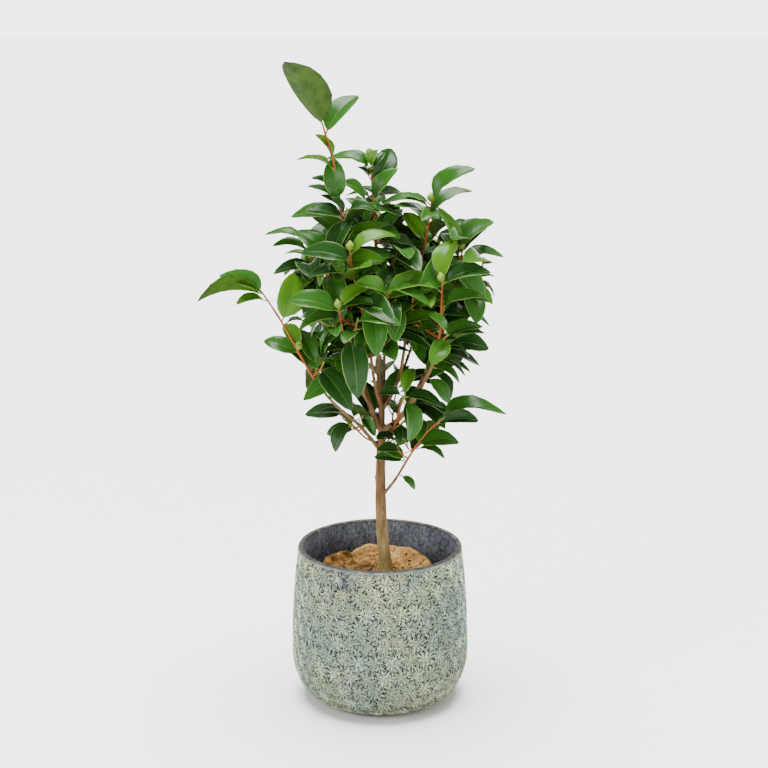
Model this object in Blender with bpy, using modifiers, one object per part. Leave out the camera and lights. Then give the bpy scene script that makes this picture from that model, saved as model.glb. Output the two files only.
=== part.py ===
"""A young camellia in its pot: turned pot, root ball, trunk, boughs and masses of foliage.

Metres, +Z up. The origin is the centre of the pot's flat underside. Azimuths are in degrees
from +X towards +Y, and a rise is in degrees above the level.
"""
import math
import random

import bmesh
import bpy
from mathutils import Matrix, Vector, geometry
from mathutils.bvhtree import BVHTree

GAP = 0.0003  # between pieces that touch in the real object
UP = Vector((0, 0, 1))

# Pot
POT_HEIGHT = 0.230
POT_BELLY_RADIUS = 0.130
POT_BELLY_HEIGHT = 0.088
POT_RIM_RADIUS = 0.1195
POT_FOOT_RADIUS = 0.081
POT_CURVE_HEIGHT = 0.070  # height of the rounded turn from the underside to the side
POT_WALL = 0.0075
POT_FLOOR = 0.010
POT_STEPS = 44

# Root ball
BALL_CENTRE = Vector((-0.005, 0, 0))
BALL_TOP_RADIUS = 0.079
BALL_FOOT_RADIUS = 0.062
BALL_RIM_HEIGHT = 0.203
BALL_STEPS = 28
SOIL_LEVEL = 0.188
SOIL_FLAT_RADIUS = 0.030

# Trunk
TRUNK_FOOT = Vector((0.0074, 0, SOIL_LEVEL + GAP))
TRUNK_TIP = Vector((0.0035, 0, 0.406))
TRUNK_BOW = Vector((-0.0035, 0.002, 0.298))
TRUNK_FOOT_RADIUS = 0.0093
TRUNK_TIP_RADIUS = 0.0062
TRUNK_FLARE = 0.0042  # extra radius at the ground
TRUNK_FLARE_HEIGHT = 0.010

# Limbs
LIMB_STEPS = 6
TWIG_STEPS = 3
STUB = 0.003  # straight length at each end of a limb
PULL = 0.36  # how far a limb keeps its first and last direction, as a share of its reach
TWIG_TIP_RADIUS = 0.0013
TWIG_SIDES = 3
TWIG_SECTION = 1.25  # corner of a twig's section, as a share of its radius
BOUGH_SIDES = 6
TRUNK_SIDES = 10

# Leaves
SEED = 23
LEAF_WIDTH = 0.48  # of its length
LEAF_THICKNESS = 0.018  # of its length, at the midrib
LEAF_LEAST_THICKNESS = 0.0011
LEAF_STATIONS = ((0.27, 0.95), (0.73, 0.84))  # along the blade, share of the full width
BLADE_START = 0.16  # where the blade begins past its stalk
LEAF_ROOT = 0.0010  # half width of the leaf stalk
TWIG_LEAVES = 5
TWIG_RADIUS = 0.0017  # of a side twig at its foot, at most
TWIG_RIM = 0.022  # how far a side twig's tip keeps inside the crown's outline
TWIGS_FROM = 0.14  # the lowest side twig, as a share of its stem
TWIGS_SPAN = 0.50
LEAF_LENGTH = (0.062, 0.082)
TOP_LEAF_SIZE = 0.86  # the topmost leaf of a shoot against the others
LEAF_SPACING = 0.019
LIGHT = Vector((0.05, -0.32, 1))  # where the blades turn their upper sides
LIGHT_OUT = 0.24  # and how far they turn outwards from the crown's axis
FRONT_LIGHT = Vector((0.05, -0.55, 1))  # where the leaves of the outline turn theirs
GOLDEN_ANGLE = 137.5
LEAF_BOW = (0.10, 0.38)  # drop of a leaf's tip, as a share of its length
CLEARANCE = 0.0005  # kept to the other limbs and masses
BUD_RADIUS = 0.0060
BUD_LENGTH = 0.015
SHOOT_END = 0.995  # the furthest share along a shoot where a leaf or bud sits
AXIS_LEAN = 0.3  # how far a blade's upper side leans with its shoot
FIRST_ANGLE = 34  # between a shoot's first leaf and the shoot
NEXT_ANGLE = 11  # added for each leaf further down
TRIES = 9
TWIG_RETRY_TURN = 47
LEAF_RETRY_TURN = 31

# The crown's furthest reach from its upright axis at each height, without its longest shoots
CROWN_AXIS = Vector((0.016, 0, 0))
CROWN_OUTLINE = (
    (0.38, 0.050),
    (0.46, 0.124),
    (0.55, 0.140),
    (0.64, 0.156),
    (0.71, 0.143),
    (0.77, 0.106),
    (0.83, 0.075),
    (0.93, 0.020),
)

# The open space in front of the fork, where the boughs show between the leaves
OPEN_MIDDLE = Vector((0.022, -0.070, 0.475))
OPEN_REACH = Vector((0.056, 0.075, 0.064))

# Boughs: carrier, share of the way along it, tip, rise at the foot and the tip, both radii
BOUGHS = {
    "left": ("trunk", 0.97, (-0.028, -0.010, 0.488), 62, 72, 0.0044, 0.0033),
    "centre": ("trunk", 1.00, (-0.002, 0.004, 0.486), 86, 90, 0.0042, 0.0030),
    "right": ("trunk", 0.99, (0.059, -0.040, 0.478), 24, 56, 0.0044, 0.0034),
    "low_left": ("trunk", 0.84, (-0.044, -0.021, 0.428), 50, 40, 0.0031, 0.0024),
    "low_right": ("trunk", 0.50, (0.024, -0.012, 0.335), 64, 58, 0.0026, 0.0021),
    "back": ("trunk", 0.93, (0.006, 0.050, 0.480), 45, 70, 0.0036, 0.0027),
    "right_upper": ("centre", 0.30, (0.033, 0.014, 0.506), 50, 82, 0.0030, 0.0025),
    "right_side": ("right", 0.34, (0.066, 0.002, 0.488), 45, 56, 0.0028, 0.0024),
    "front_left": ("left", 0.50, (-0.031, -0.034, 0.486), 45, 70, 0.0026, 0.0022),
    "front": ("centre", 0.45, (-0.014, -0.034, 0.530), 50, 72, 0.0026, 0.0022),
    "left_side": ("left", 0.72, (-0.056, 0.012, 0.524), 50, 60, 0.0025, 0.0022),
    "back_left": ("back", 0.40, (-0.038, 0.050, 0.490), 40, 66, 0.0027, 0.0023),
    "back_right": ("back", 0.55, (0.042, 0.060, 0.500), 38, 66, 0.0026, 0.0023),
}

# Masses: the limb whose tip or side it grows from, share of the way along it, the tip of its
# stem, the rise there, radius at the foot, side twigs, their reach, leaves on the stem
MASSES = {
    "leader": ("left", 1, (-0.077, -0.036, 0.838), 68, 0.0028, 3, 0.070, 5),
    "centre": ("centre", 1, (-0.012, 0.000, 0.776), 86, 0.0028, 4, 0.074, 5),
    "right_top": ("right_upper", 1, (0.072, -0.010, 0.732), 82, 0.0024, 4, 0.075, 4),
    "right_side": ("right_side", 1, (0.117, 0.004, 0.664), 74, 0.0023, 3, 0.075, 3),
    "front_right": ("right", 1, (0.085, -0.080, 0.632), 86, 0.0028, 2, 0.060, 3),
    "front": ("front", 1, (-0.040, -0.074, 0.673), 80, 0.0020, 3, 0.065, 5),
    "front_left": ("front_left", 1, (-0.055, -0.090, 0.596), 76, 0.0020, 3, 0.060, 2),
    "left": ("left_side", 1, (-0.102, -0.008, 0.676), 72, 0.0020, 3, 0.065, 5),
    "left_sprig": ("low_left", 1, (-0.160, -0.060, 0.612), 55, 0.0023, 1, 0.040, 0),
    "low_right": ("low_right", 1, (0.086, -0.040, 0.428), 40, 0.0020, 1, 0.030, 1),
    "low_front": ("trunk", 0.97, (0.034, -0.060, 0.466), 52, 0.0019, 0, 0.045, 0),
    "low_left": ("trunk", 0.90, (-0.054, 0.022, 0.418), 30, 0.0018, 1, 0.040, 2),
    "low_back": ("trunk", 0.86, (0.028, 0.062, 0.468), 50, 0.0018, 2, 0.050, 5),
    "back": ("back", 1, (0.010, 0.090, 0.712), 80, 0.0025, 4, 0.080, 6),
    "back_left": ("back_left", 1, (-0.078, 0.080, 0.668), 74, 0.0021, 4, 0.070, 6),
    "back_right": ("back_right", 1, (0.080, 0.086, 0.655), 76, 0.0021, 4, 0.074, 6),
}

# The leaves and buds that make the outline: share of the way up the stem, azimuth, rise, length,
# how far the blade bows
TIP_LEAVES = {
    "leader": (
        (1.00, 208, 58, 0.104, 0.05, 105), (0.96, 24, 58, 0.072, 0.24), (0.85, 200, 62, 0.046, 0.06),
        (0.815, 186, 34, 0.054, 0.20), (0.70, 115, 52, 0.068, 0.10), (0.81, 8, 0, 0.044, 0.12),
        (0.73, 190, 40, 0.042, 0.06), (0.63, 186, 22, 0.064, 0.42), (0.60, 352, 36, 0.078, 0.34),
        (0.55, 168, 50, 0.062, 0.12),
    ),
    "centre": (
        (0.91, 38, 56, 0.062, 0.22), (1.00, 180, 40, 0.058, 0.48), (1.00, 300, 70, 0.030, 0.05),
        (1.00, 110, 72, 0.032, 0.05), (0.85, 176, 30, 0.038, 0.36),
        (0.70, 130, 50, 0.050, 0.10), (0.69, 30, 50, 0.042, 0.10),
    ),
    "right_top": (
        (1.00, 345, 50, 0.074, 0.14), (0.90, 8, 42, 0.070, 0.12), (1.00, 172, 38, 0.046, 0.16),
        (0.97, 190, 34, 0.066, 0.26), (0.82, 150, 48, 0.060, 0.12), (0.76, 170, 58, 0.050, 0.05),
    ),
    "right_side": (
        (0.98, 20, 50, 0.062, 0.08), (1.00, 96, 62, 0.060, 0.06), (0.92, 170, 56, 0.046, 0.08),
        (0.94, 350, 20, 0.056, 0.30), (0.78, 352, 26, 0.038, 0.34), (0.42, 40, 50, 0.042, 0.10),
        (0.35, 345, 14, 0.054, 0.16), (0.22, 352, 2, 0.072, 0.04), (0.02, 320, -30, 0.056, 0.10),
    ),
    "front_right": (
        (1.00, 66, 60, 0.068, 0.05), (0.97, 350, 30, 0.064, 0.20), (0.90, 188, 34, 0.068, 0.60),
        (0.76, 350, 32, 0.062, 0.40), (0.66, 200, 10, 0.060, 0.16), (0.20, 352, -14, 0.044, 0.20),
        (0.10, 338, -40, 0.048, 0.12),
    ),
    "left": (
        (1.00, 182, 30, 0.056, 0.30), (0.90, 190, 22, 0.052, 0.16),
    ),
    "left_sprig": (
        (1.00, 187, 16, 0.090, 0.22), (0.99, 172, 44, 0.064, 0.60), (0.94, 206, 6, 0.046, 0.05),
        (0.78, 20, 72, 0.070, 0.12, 50), (0.76, 350, 20, 0.030, 0.05), (0.58, 84, 66, 0.058, 0.05),
        (0.55, 186, 26, 0.052, 0.16), (0.42, 160, 48, 0.044, 0.10), (0.40, 20, 30, 0.038, 0.30),
    ),
    "low_front": (
        (1.00, 60, 60, 0.046, 0.06), (0.98, 300, -62, 0.060, 0.06), (0.96, 340, -30, 0.048, 0.30),
        (0.99, 350, 18, 0.052, 0.34), (1.00, 185, 20, 0.034, 0.30),
    ),
    "low_right": (
        (1.00, 354, 30, 0.084, 0.34), (0.90, 2, 12, 0.062, 0.12), (0.52, 0, 14, 0.060, 0.12),
        (0.46, 335, 4, 0.046, 0.08), (0.26, 170, 34, 0.042, 0.06), (0.05, 340, -30, 0.032, 0.10),
    ),
    "low_left": (
        (1.00, 190, 22, 0.050, 0.42), (0.70, 220, -34, 0.046, 0.10),
    ),
    "front_left": (
        (1.00, 14, 50, 0.054, 0.20), (0.96, 184, 22, 0.070, 0.14), (0.95, 350, 28, 0.054, 0.20),
        (0.84, 202, 8, 0.058, 0.10), (0.34, 190, 42, 0.056, 0.14), (0.28, 330, 36, 0.044, 0.30),
        (0.02, 214, 6, 0.074, 0.40),
    ),
    "front": (
        (0.90, 190, 26, 0.064, 0.34), (0.96, 10, 36, 0.066, 0.16), (0.74, 200, 20, 0.060, 0.20),
    ),
}
BUDS = (
    ("leader", 0.775, 0, 62), ("right_top", 1.0, 120, 76), ("front_right", 1.0, 200, 72),
    ("front_left", 1.0, 160, 78), ("front", 1.0, 100, 84), ("left", 1.0, 60, 70),
    ("left", 0.95, 350, 60), ("left_sprig", 0.57, 60, 70), ("right_side", 1.0, 190, 66),
    ("back", 1.0, 90, 80), ("back_left", 1.0, 90, 76), ("back_right", 1.0, 70, 76),
)


def clear_scene():
    for item in list(bpy.data.objects):
        bpy.data.objects.remove(item, do_unlink=True)


def make_material(name, colour, roughness, metallic=0.0):
    material = bpy.data.materials.new(name)
    material.use_nodes = True
    shader = material.node_tree.nodes["Principled BSDF"]
    shader.inputs["Base Color"].default_value = (*colour, 1)
    shader.inputs["Roughness"].default_value = roughness
    shader.inputs["Metallic"].default_value = metallic
    return material


def make_collection(name):
    collection = bpy.data.collections.new(name)
    bpy.context.scene.collection.children.link(collection)
    return collection


def add_object(name, data, collection, material=None):
    item = bpy.data.objects.new(name, data)
    collection.objects.link(item)
    if material:
        data.materials.clear()
        data.materials.append(material)
    return item


def evaluated_mesh(item):
    """The mesh of an object with its modifiers, as a new mesh in its own coordinates."""
    graph = bpy.context.evaluated_depsgraph_get()
    return bpy.data.meshes.new_from_object(item.evaluated_get(graph))


def way(azimuth, rise):
    """A unit vector at an azimuth and a rise, both in degrees."""
    turn = math.radians(azimuth)
    lift = math.radians(rise)
    return Vector((math.cos(lift) * math.cos(turn), math.cos(lift) * math.sin(turn), math.sin(lift)))


def turned(name, profile, steps, collection, material):
    """A profile of (radius, height) pairs, top to bottom along its outside, turned about Z."""
    mesh = bpy.data.meshes.new(name)
    edges = [(i, i + 1) for i in range(len(profile) - 1)]
    mesh.from_pydata([(radius, 0, height) for radius, height in profile], edges, [])
    item = add_object(name, mesh, collection, material)
    screw = item.modifiers.new("Turn", "SCREW")
    screw.steps = steps
    screw.render_steps = steps
    screw.use_merge_vertices = True
    screw.merge_threshold = 0.00001
    return item


def pot_outside(height):
    """The pot's outer radius at a height: a rounded foot, a belly and a gentle draw to the rim."""
    if height < POT_CURVE_HEIGHT:
        share = 1 - height / POT_CURVE_HEIGHT
        return POT_FOOT_RADIUS + (POT_BELLY_RADIUS - POT_FOOT_RADIUS) * math.sqrt(1 - share * share)
    above = max(0, (height - POT_BELLY_HEIGHT) / (POT_HEIGHT - POT_BELLY_HEIGHT))
    return POT_BELLY_RADIUS - (POT_BELLY_RADIUS - POT_RIM_RADIUS) * above**1.6


def make_pot(collection, material):
    heights = [POT_HEIGHT - 0.002]
    heights += [POT_HEIGHT - (POT_HEIGHT - POT_CURVE_HEIGHT) * i / 5 for i in range(1, 6)]
    turns = [math.radians(90 - 90 * i / 6) for i in range(1, 7)]
    heights += [POT_CURVE_HEIGHT * (1 - math.cos(turn)) for turn in turns]
    outside = [(pot_outside(height), height) for height in heights]
    lip_middle = POT_RIM_RADIUS - POT_WALL / 2
    lip = [(lip_middle - POT_WALL * 0.3, POT_HEIGHT), (lip_middle + POT_WALL * 0.3, POT_HEIGHT)]
    inside = []
    for height in heights[-3::-2]:
        inside.append((pot_outside(height) - POT_WALL, height))
    floor = [(0, POT_FLOOR), (pot_outside(POT_FLOOR) - POT_WALL * 1.6, POT_FLOOR)]
    profile = floor + inside + lip + outside + [(0, 0)]
    return turned("pot", profile, POT_STEPS, collection, material)


def ragged(turn, waves):
    """A value of about -1 to 1 that wanders with the angle, from (count, phase) pairs."""
    return sum(math.sin(count * turn + phase) for count, phase in waves) / len(waves) ** 0.5


def make_root_ball(collection, material):
    """A tapered plug of roots and clay with a raised, broken rim round the soil."""
    rim = BALL_RIM_HEIGHT
    top = BALL_TOP_RADIUS
    profile = [
        (0, SOIL_LEVEL),
        (SOIL_FLAT_RADIUS, SOIL_LEVEL),
        (top * 0.62, SOIL_LEVEL + 0.002),
        (top * 0.80, SOIL_LEVEL + 0.006),
        (top * 0.88, rim - 0.001),
        (top * 0.94, rim),
        (top, rim - 0.004),
        (top * 0.99, rim - 0.030),
        (top * 0.95, rim - 0.070),
        (BALL_FOOT_RADIUS + 0.006, POT_FLOOR + 0.050),
        (BALL_FOOT_RADIUS, POT_FLOOR + GAP),
        (0, POT_FLOOR + GAP),
    ]
    item = turned("root_ball", profile, BALL_STEPS, collection, material)
    mesh = evaluated_mesh(item)
    item.modifiers.clear()
    item.data = mesh
    draw = random.Random(SEED)
    heights = [(count, draw.uniform(0, math.tau)) for count in (2, 3, 5, 8, 13)]
    widths = [(count, draw.uniform(0, math.tau)) for count in (2, 4, 7, 11)]
    for vertex in mesh.vertices:
        place = vertex.co
        radius = math.hypot(place.x, place.y)
        turn = math.atan2(place.y, place.x)
        if radius > SOIL_FLAT_RADIUS + 0.001 and place.z > SOIL_LEVEL - 0.020:
            share = min(1, (place.z - SOIL_LEVEL + 0.020) / 0.030)
            place.z += 0.0042 * ragged(turn, heights) * share * (place.z > SOIL_LEVEL)
            grow = 1 + 0.020 * ragged(turn, widths)
            place.x *= grow
            place.y *= grow
        place += BALL_CENTRE
    item.data.materials.clear()
    item.data.materials.append(material)
    return item


def section_curve():
    """The three-sided section of a twig, about as big as a round one of unit radius."""
    curve = bpy.data.curves.new("section", "CURVE")
    spline = curve.splines.new("POLY")
    spline.points.add(TWIG_SIDES - 1)
    for i, point in enumerate(spline.points):
        turn = -math.tau * i / TWIG_SIDES
        point.co = (TWIG_SECTION * math.cos(turn), TWIG_SECTION * math.sin(turn), 0, 1)
    spline.use_cyclic_u = True
    return curve


def tube_mesh(path, radii, sides):
    """A closed tube along a path with a radius at each point, as a mesh in world coordinates."""
    curve = bpy.data.curves.new("path", "CURVE")
    curve.dimensions = "3D"
    curve.use_fill_caps = True
    section = None
    if sides == TWIG_SIDES:
        section = add_object("section", section_curve(), bpy.context.scene.collection)
        curve.bevel_mode = "OBJECT"
        curve.bevel_object = section
    else:
        curve.bevel_depth = 1.0
        curve.bevel_resolution = (sides - 4) // 2
    spline = curve.splines.new("POLY")
    spline.points.add(len(path) - 1)
    for point, place, radius in zip(spline.points, path, radii):
        point.co = (*place, 1)
        point.radius = radius
    item = bpy.data.objects.new("path", curve)
    bpy.context.scene.collection.objects.link(item)
    mesh = evaluated_mesh(item)
    bpy.data.objects.remove(item)
    bpy.data.curves.remove(curve)
    if section:
        bpy.data.curves.remove(section.data)
    shape = bmesh.new()
    shape.from_mesh(mesh)
    bmesh.ops.remove_doubles(shape, verts=shape.verts, dist=0.00001)
    bmesh.ops.recalc_face_normals(shape, faces=shape.faces)
    shape.to_mesh(mesh)
    shape.free()
    return mesh


def curved_path(foot, foot_way, tip, tip_way, steps, stub=STUB):
    """A smooth path that leaves and arrives in given directions, with a straight stub at each end."""
    start = foot + foot_way * stub
    end = tip - tip_way * stub
    pull = (end - start).length * PULL
    middle = geometry.interpolate_bezier(
        start, start + foot_way * pull, end - tip_way * pull, end, steps + 1
    )
    return [foot, *middle, tip] if stub else middle


class Limb:
    """A tapering limb: its path and its radii."""

    def __init__(self, path, foot_radius, tip_radius):
        self.path = path
        lengths = [0.0]
        for here, there in zip(path, path[1:]):
            lengths.append(lengths[-1] + (there - here).length)
        self.length = lengths[-1]
        self.shares = [length / self.length for length in lengths]
        self.radii = [foot_radius + (tip_radius - foot_radius) * share for share in self.shares]

    def at(self, share):
        """The place, direction and radius a share of the way along."""
        last = len(self.path) - 2
        i = next((k for k in range(last) if share <= self.shares[k + 1]), last)
        span = self.shares[i + 1] - self.shares[i]
        part = (share - self.shares[i]) / span
        place = self.path[i].lerp(self.path[i + 1], part)
        radius = self.radii[i] + (self.radii[i + 1] - self.radii[i]) * part
        return place, (self.path[i + 1] - self.path[i]).normalized(), radius

    def mesh(self, sides, grow=0.0):
        return tube_mesh(self.path, [radius + grow for radius in self.radii], sides)


def make_trunk_limb():
    path = [TRUNK_FOOT]
    path += [TRUNK_FOOT + UP * 0.003, TRUNK_FOOT + UP * 0.008]
    start = TRUNK_FOOT + UP * 0.016
    for i in range(10):
        share = i / 9
        low = start.lerp(TRUNK_BOW, share)
        high = TRUNK_BOW.lerp(TRUNK_TIP, share)
        path.append(low.lerp(high, share))
    limb = Limb(path, TRUNK_FOOT_RADIUS, TRUNK_TIP_RADIUS)
    for i, place in enumerate(path):
        above = place.z - TRUNK_FOOT.z
        limb.radii[i] += TRUNK_FLARE * math.exp(-above / TRUNK_FLARE_HEIGHT)
    limb.path.append(TRUNK_TIP + UP * 0.0025)
    limb.radii.append(TRUNK_TIP_RADIUS * 0.72)
    limb.shares.append(1.0001)
    return limb


def make_bough_limb(limbs, row):
    """A bough from its carrier's axis to its tip."""
    carrier, share, tip, foot_rise, tip_rise, foot_radius, tip_radius = row
    foot = limbs[carrier].at(share)[0]
    tip = Vector(tip)
    away = tip - foot
    azimuth = math.degrees(math.atan2(away.y, away.x))
    path = curved_path(foot, way(azimuth, foot_rise), tip, way(azimuth, tip_rise), LIMB_STEPS)
    return Limb(path, foot_radius, tip_radius)


def tree_of(mesh):
    """A search tree and the bounds of a mesh."""
    places = [vertex.co.copy() for vertex in mesh.vertices]
    faces = [tuple(face.vertices) for face in mesh.polygons]
    return Solid(places, faces)


class Solid:
    """A closed shape with its bounds, for tests of what touches what."""

    def __init__(self, places, faces):
        self.tree = BVHTree.FromPolygons(places, faces)
        self.low = [min(place[axis] for place in places) for axis in range(3)]
        self.high = [max(place[axis] for place in places) for axis in range(3)]

    def touches(self, other):
        for axis in range(3):
            if self.low[axis] > other.high[axis] or other.low[axis] > self.high[axis]:
                return False
        return bool(self.tree.overlap(other.tree))


class Leaf:
    """A blade from its root on a twig's axis: direction, upper side, length and bow."""

    def __init__(self, root, forward, upper, length, bow, fold, width=LEAF_WIDTH):
        self.root = root
        self.forward = forward
        self.upper = (upper - forward * upper.dot(forward)).normalized()
        self.side = self.forward.cross(self.upper)
        self.length = length
        self.bow = bow
        self.fold = math.radians(fold)
        self.width = width

    def middle(self, share):
        """The midrib a share of the way along, bowed down from its first direction."""
        drop = self.bow * share * share
        return self.root + (self.forward * share - self.upper * drop) * self.length

    def shape(self, grow=0.0, start=0.0):
        """The places and faces of the closed blade: a lozenge root, two sections and a point."""
        thick = max(self.length * LEAF_THICKNESS, LEAF_LEAST_THICKNESS) / 2 + grow
        places = []
        root_width = 2 * LEAF_ROOT / (self.length * self.width)
        sections = ((start, root_width + start), *LEAF_STATIONS)
        for share, wide in sections:
            centre = self.middle(share)
            half = self.length * self.width / 2 * wide + grow
            lift = self.upper * (half * math.sin(self.fold) * (share > 0))
            reach = self.side * half * math.cos(self.fold)
            places += [centre + reach + lift, centre + self.upper * thick]
            places += [centre - reach + lift, centre - self.upper * thick]
        places.append(self.middle(1 + grow / self.length))
        faces = [(3, 2, 1, 0)]
        for ring in (0, 4):
            for i in range(4):
                j = (i + 1) % 4
                faces += [(ring + i, ring + j, ring + 4 + j), (ring + i, ring + 4 + j, ring + 4 + i)]
        faces += [(8 + i, 8 + (i + 1) % 4, 12) for i in range(4)]
        return places, faces

    def inside(self, reach_of):
        """Whether the tip stays within the crown and the blade out of the open fork."""
        tip = self.middle(1) - CROWN_AXIS
        if any(in_open_fork(self.middle(share)) for share in (0.5, 1)):
            return False
        return math.hypot(tip.x, tip.y) < reach_of(tip.z)


def crown_reach(height):
    """The crown's reach from its axis at a height, between the named heights."""
    for (low, narrow), (high, wide) in zip(CROWN_OUTLINE, CROWN_OUTLINE[1:]):
        if low <= height <= high:
            return narrow + (wide - narrow) * (height - low) / (high - low)
    return 0.0


def in_open_fork(place):
    """Whether a place lies in the open space in front of the fork."""
    away = place - OPEN_MIDDLE
    return sum((away[axis] / OPEN_REACH[axis]) ** 2 for axis in range(3)) < 1


class Crown:
    """What has grown so far: the limbs, and each mass's twigs, leaves and buds."""

    def __init__(self):
        self.limbs = []
        self.twigs = {name: [] for name in MASSES}
        self.shoots = {name: [] for name in MASSES}
        self.leaves = {name: [] for name in MASSES}
        self.buds = {name: [] for name in MASSES}

    def is_clear(self, name, grown, blade=None, own_twig=None):
        """Whether a shape keeps clear of the limbs, the other masses and its own mass's blades."""
        if any(grown.touches(limb) for limb in self.limbs):
            return False
        for other in MASSES:
            if other != name:
                rows = self.leaves[other] + self.buds[other] + self.twigs[other]
                if any(grown.touches(row[1]) for row in rows):
                    return False
        if blade is None:
            return True
        rows = [row[2] for row in self.leaves[name]] + [row[1] for row in self.buds[name]]
        rows += [row[1] for k, row in enumerate(self.twigs[name]) if k != own_twig]
        return not any(blade.touches(solid) for solid in rows)

    def add_twig(self, name, limb, test=True):
        mesh = limb.mesh(TWIG_SIDES)
        grown = tree_of(limb.mesh(TWIG_SIDES, CLEARANCE))
        plain = tree_of(mesh)
        if test and not self.is_clear(name, grown):
            return False
        self.twigs[name].append((mesh, plain))
        self.shoots[name].append(limb)
        return True

    def add_leaf(self, name, twig, leaf, free=False):
        if not free and not leaf.inside(crown_reach):
            return False
        blade = Solid(*leaf.shape(start=BLADE_START))
        if not self.is_clear(name, Solid(*leaf.shape(CLEARANCE)), blade, twig):
            return False
        self.leaves[name].append((leaf, Solid(*leaf.shape()), blade))
        return True


def leaf_on(limb, share, forward, length, bow, draw, light, roll=0):
    """A blade on a limb, its upper side turned to the light and then rolled, with some scatter."""
    place, axis, _ = limb.at(share)
    upper = light + axis * AXIS_LEAN
    upper.rotate(Matrix.Rotation(math.radians(roll + draw.uniform(-20, 20)), 3, forward))
    return Leaf(place, forward, upper, length, bow, draw.uniform(10, 26))


def light_at(limb):
    """The light that a shoot's leaves turn to, more of it from the side that the shoot is on."""
    tip = limb.path[-1]
    out = Vector((tip.x, tip.y, 0)) - CROWN_AXIS
    return LIGHT + out.normalized() * LIGHT_OUT


def grow_stem(crown, limbs, name):
    carrier, share, tip, tip_rise, radius, *_ = MASSES[name]
    place, axis, carrier_radius = limbs[carrier].at(share)
    tip = Vector(tip)
    if share == 1:
        foot_way = axis
        foot = place + axis * (GAP + 0.0001)
    else:
        level = Vector((tip.x - place.x, tip.y - place.y, 0)).normalized()
        foot_way = level
        foot = place + level * (carrier_radius + GAP + 0.0003)
    away = tip - foot
    azimuth = math.degrees(math.atan2(away.y, away.x))
    path = curved_path(foot, foot_way, tip, way(azimuth, tip_rise), TWIG_STEPS + 3)
    if not crown.add_twig(name, Limb(path, radius, TWIG_TIP_RADIUS), test=False):
        raise RuntimeError(f"the stem of {name} touches something")


def grow_twigs(crown, name, draw):
    """Side twigs up the stem, turned by the golden angle, each curving up to its tip."""
    *_, count, reach, _ = MASSES[name]
    stem = crown.shoots[name][0]
    azimuth = draw.uniform(0, 360)
    for i in range(count):
        azimuth += GOLDEN_ANGLE
        for attempt in range(TRIES):
            share = TWIGS_FROM + TWIGS_SPAN * (i + draw.uniform(0.2, 0.8)) / count
            place, _, radius = stem.at(share)
            turn = azimuth + attempt * TWIG_RETRY_TURN
            length = reach * draw.uniform(0.75, 1.1) * 0.93**attempt
            tip = place + way(turn, draw.uniform(28, 48)) * length
            level = tip - CROWN_AXIS
            if math.hypot(level.x, level.y) > crown_reach(tip.z) - TWIG_RIM:
                continue
            path = curved_path(place, way(turn, 30), tip, way(turn, 66), TWIG_STEPS, stub=0)
            if crown.add_twig(name, Limb(path, min(radius * 0.85, TWIG_RADIUS), TWIG_TIP_RADIUS)):
                break


def grow_tip_leaves(crown, name, draw):
    """The leaves that make the outline, on the stem."""
    for share, azimuth, rise, length, bow, *roll in TIP_LEAVES.get(name, ()):
        for attempt in range(TRIES):
            turn = azimuth + draw.uniform(-5, 5) * attempt
            forward = way(turn, rise + draw.uniform(-4, 4) * attempt)
            stem = crown.shoots[name][0]
            place = min(share, SHOOT_END) - 0.006 * attempt
            leaf = leaf_on(stem, place, forward, length, bow, draw, FRONT_LIGHT, sum(roll))
            if crown.add_leaf(name, 0, leaf, free=True):
                break


def grow_leaves(crown, name, draw):
    """Leaves spiralling down each shoot from its tip, steep at the tip and level lower down."""
    for number, limb in enumerate(crown.shoots[name]):
        count = MASSES[name][7] if number == 0 else TWIG_LEAVES
        azimuth = draw.uniform(0, 360)
        top = SHOOT_END
        if number == 0 and name in TIP_LEAVES:
            top = min(row[0] for row in TIP_LEAVES[name]) - 0.05
        span = min(LEAF_SPACING / limb.length, top * 0.9 / max(1, count))
        for i in range(count):
            azimuth += GOLDEN_ANGLE
            share = max(0.02, top - (i + draw.uniform(0, 0.15)) * span)
            _, axis, _ = limb.at(share)
            across = axis.orthogonal().normalized()
            for attempt in range(TRIES):
                across.rotate(Matrix.Rotation(math.radians(azimuth + attempt * LEAF_RETRY_TURN), 3, axis))
                open_angle = math.radians(min(88, FIRST_ANGLE + NEXT_ANGLE * i) + draw.uniform(-8, 8))
                forward = axis * math.cos(open_angle) + across * math.sin(open_angle)
                forward = (forward - UP * draw.uniform(0.0, 0.15)).normalized()
                length = draw.uniform(*LEAF_LENGTH) * (TOP_LEAF_SIZE if i == 0 else 1)
                bow = draw.uniform(*LEAF_BOW)
                leaf = leaf_on(limb, share, forward, length, bow, draw, light_at(limb))
                if crown.add_leaf(name, number, leaf):
                    break


def bud_shape(root, forward):
    """A plump, pointed flower bud from its root on a twig's axis."""
    shape = bmesh.new()
    bmesh.ops.create_uvsphere(shape, u_segments=6, v_segments=4, radius=1)
    side = forward.orthogonal().normalized()
    frame = Matrix((side, forward.cross(side), forward)).transposed().to_4x4()
    stretch = Matrix.Diagonal((BUD_RADIUS, BUD_RADIUS, BUD_LENGTH / 2, 1))
    seat = Matrix.Translation(root + forward * BUD_LENGTH * 0.48)
    bmesh.ops.transform(shape, matrix=seat @ frame @ stretch, verts=shape.verts)
    places = [vertex.co.copy() for vertex in shape.verts]
    faces = [tuple(vertex.index for vertex in face.verts) for face in shape.faces]
    shape.free()
    return places, faces


def grow_buds(crown):
    for name, share, azimuth, rise in BUDS:
        place = crown.shoots[name][0].at(min(share, SHOOT_END))[0]
        shape = bud_shape(place, way(azimuth, rise))
        crown.buds[name].append((shape, Solid(*shape)))


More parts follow.
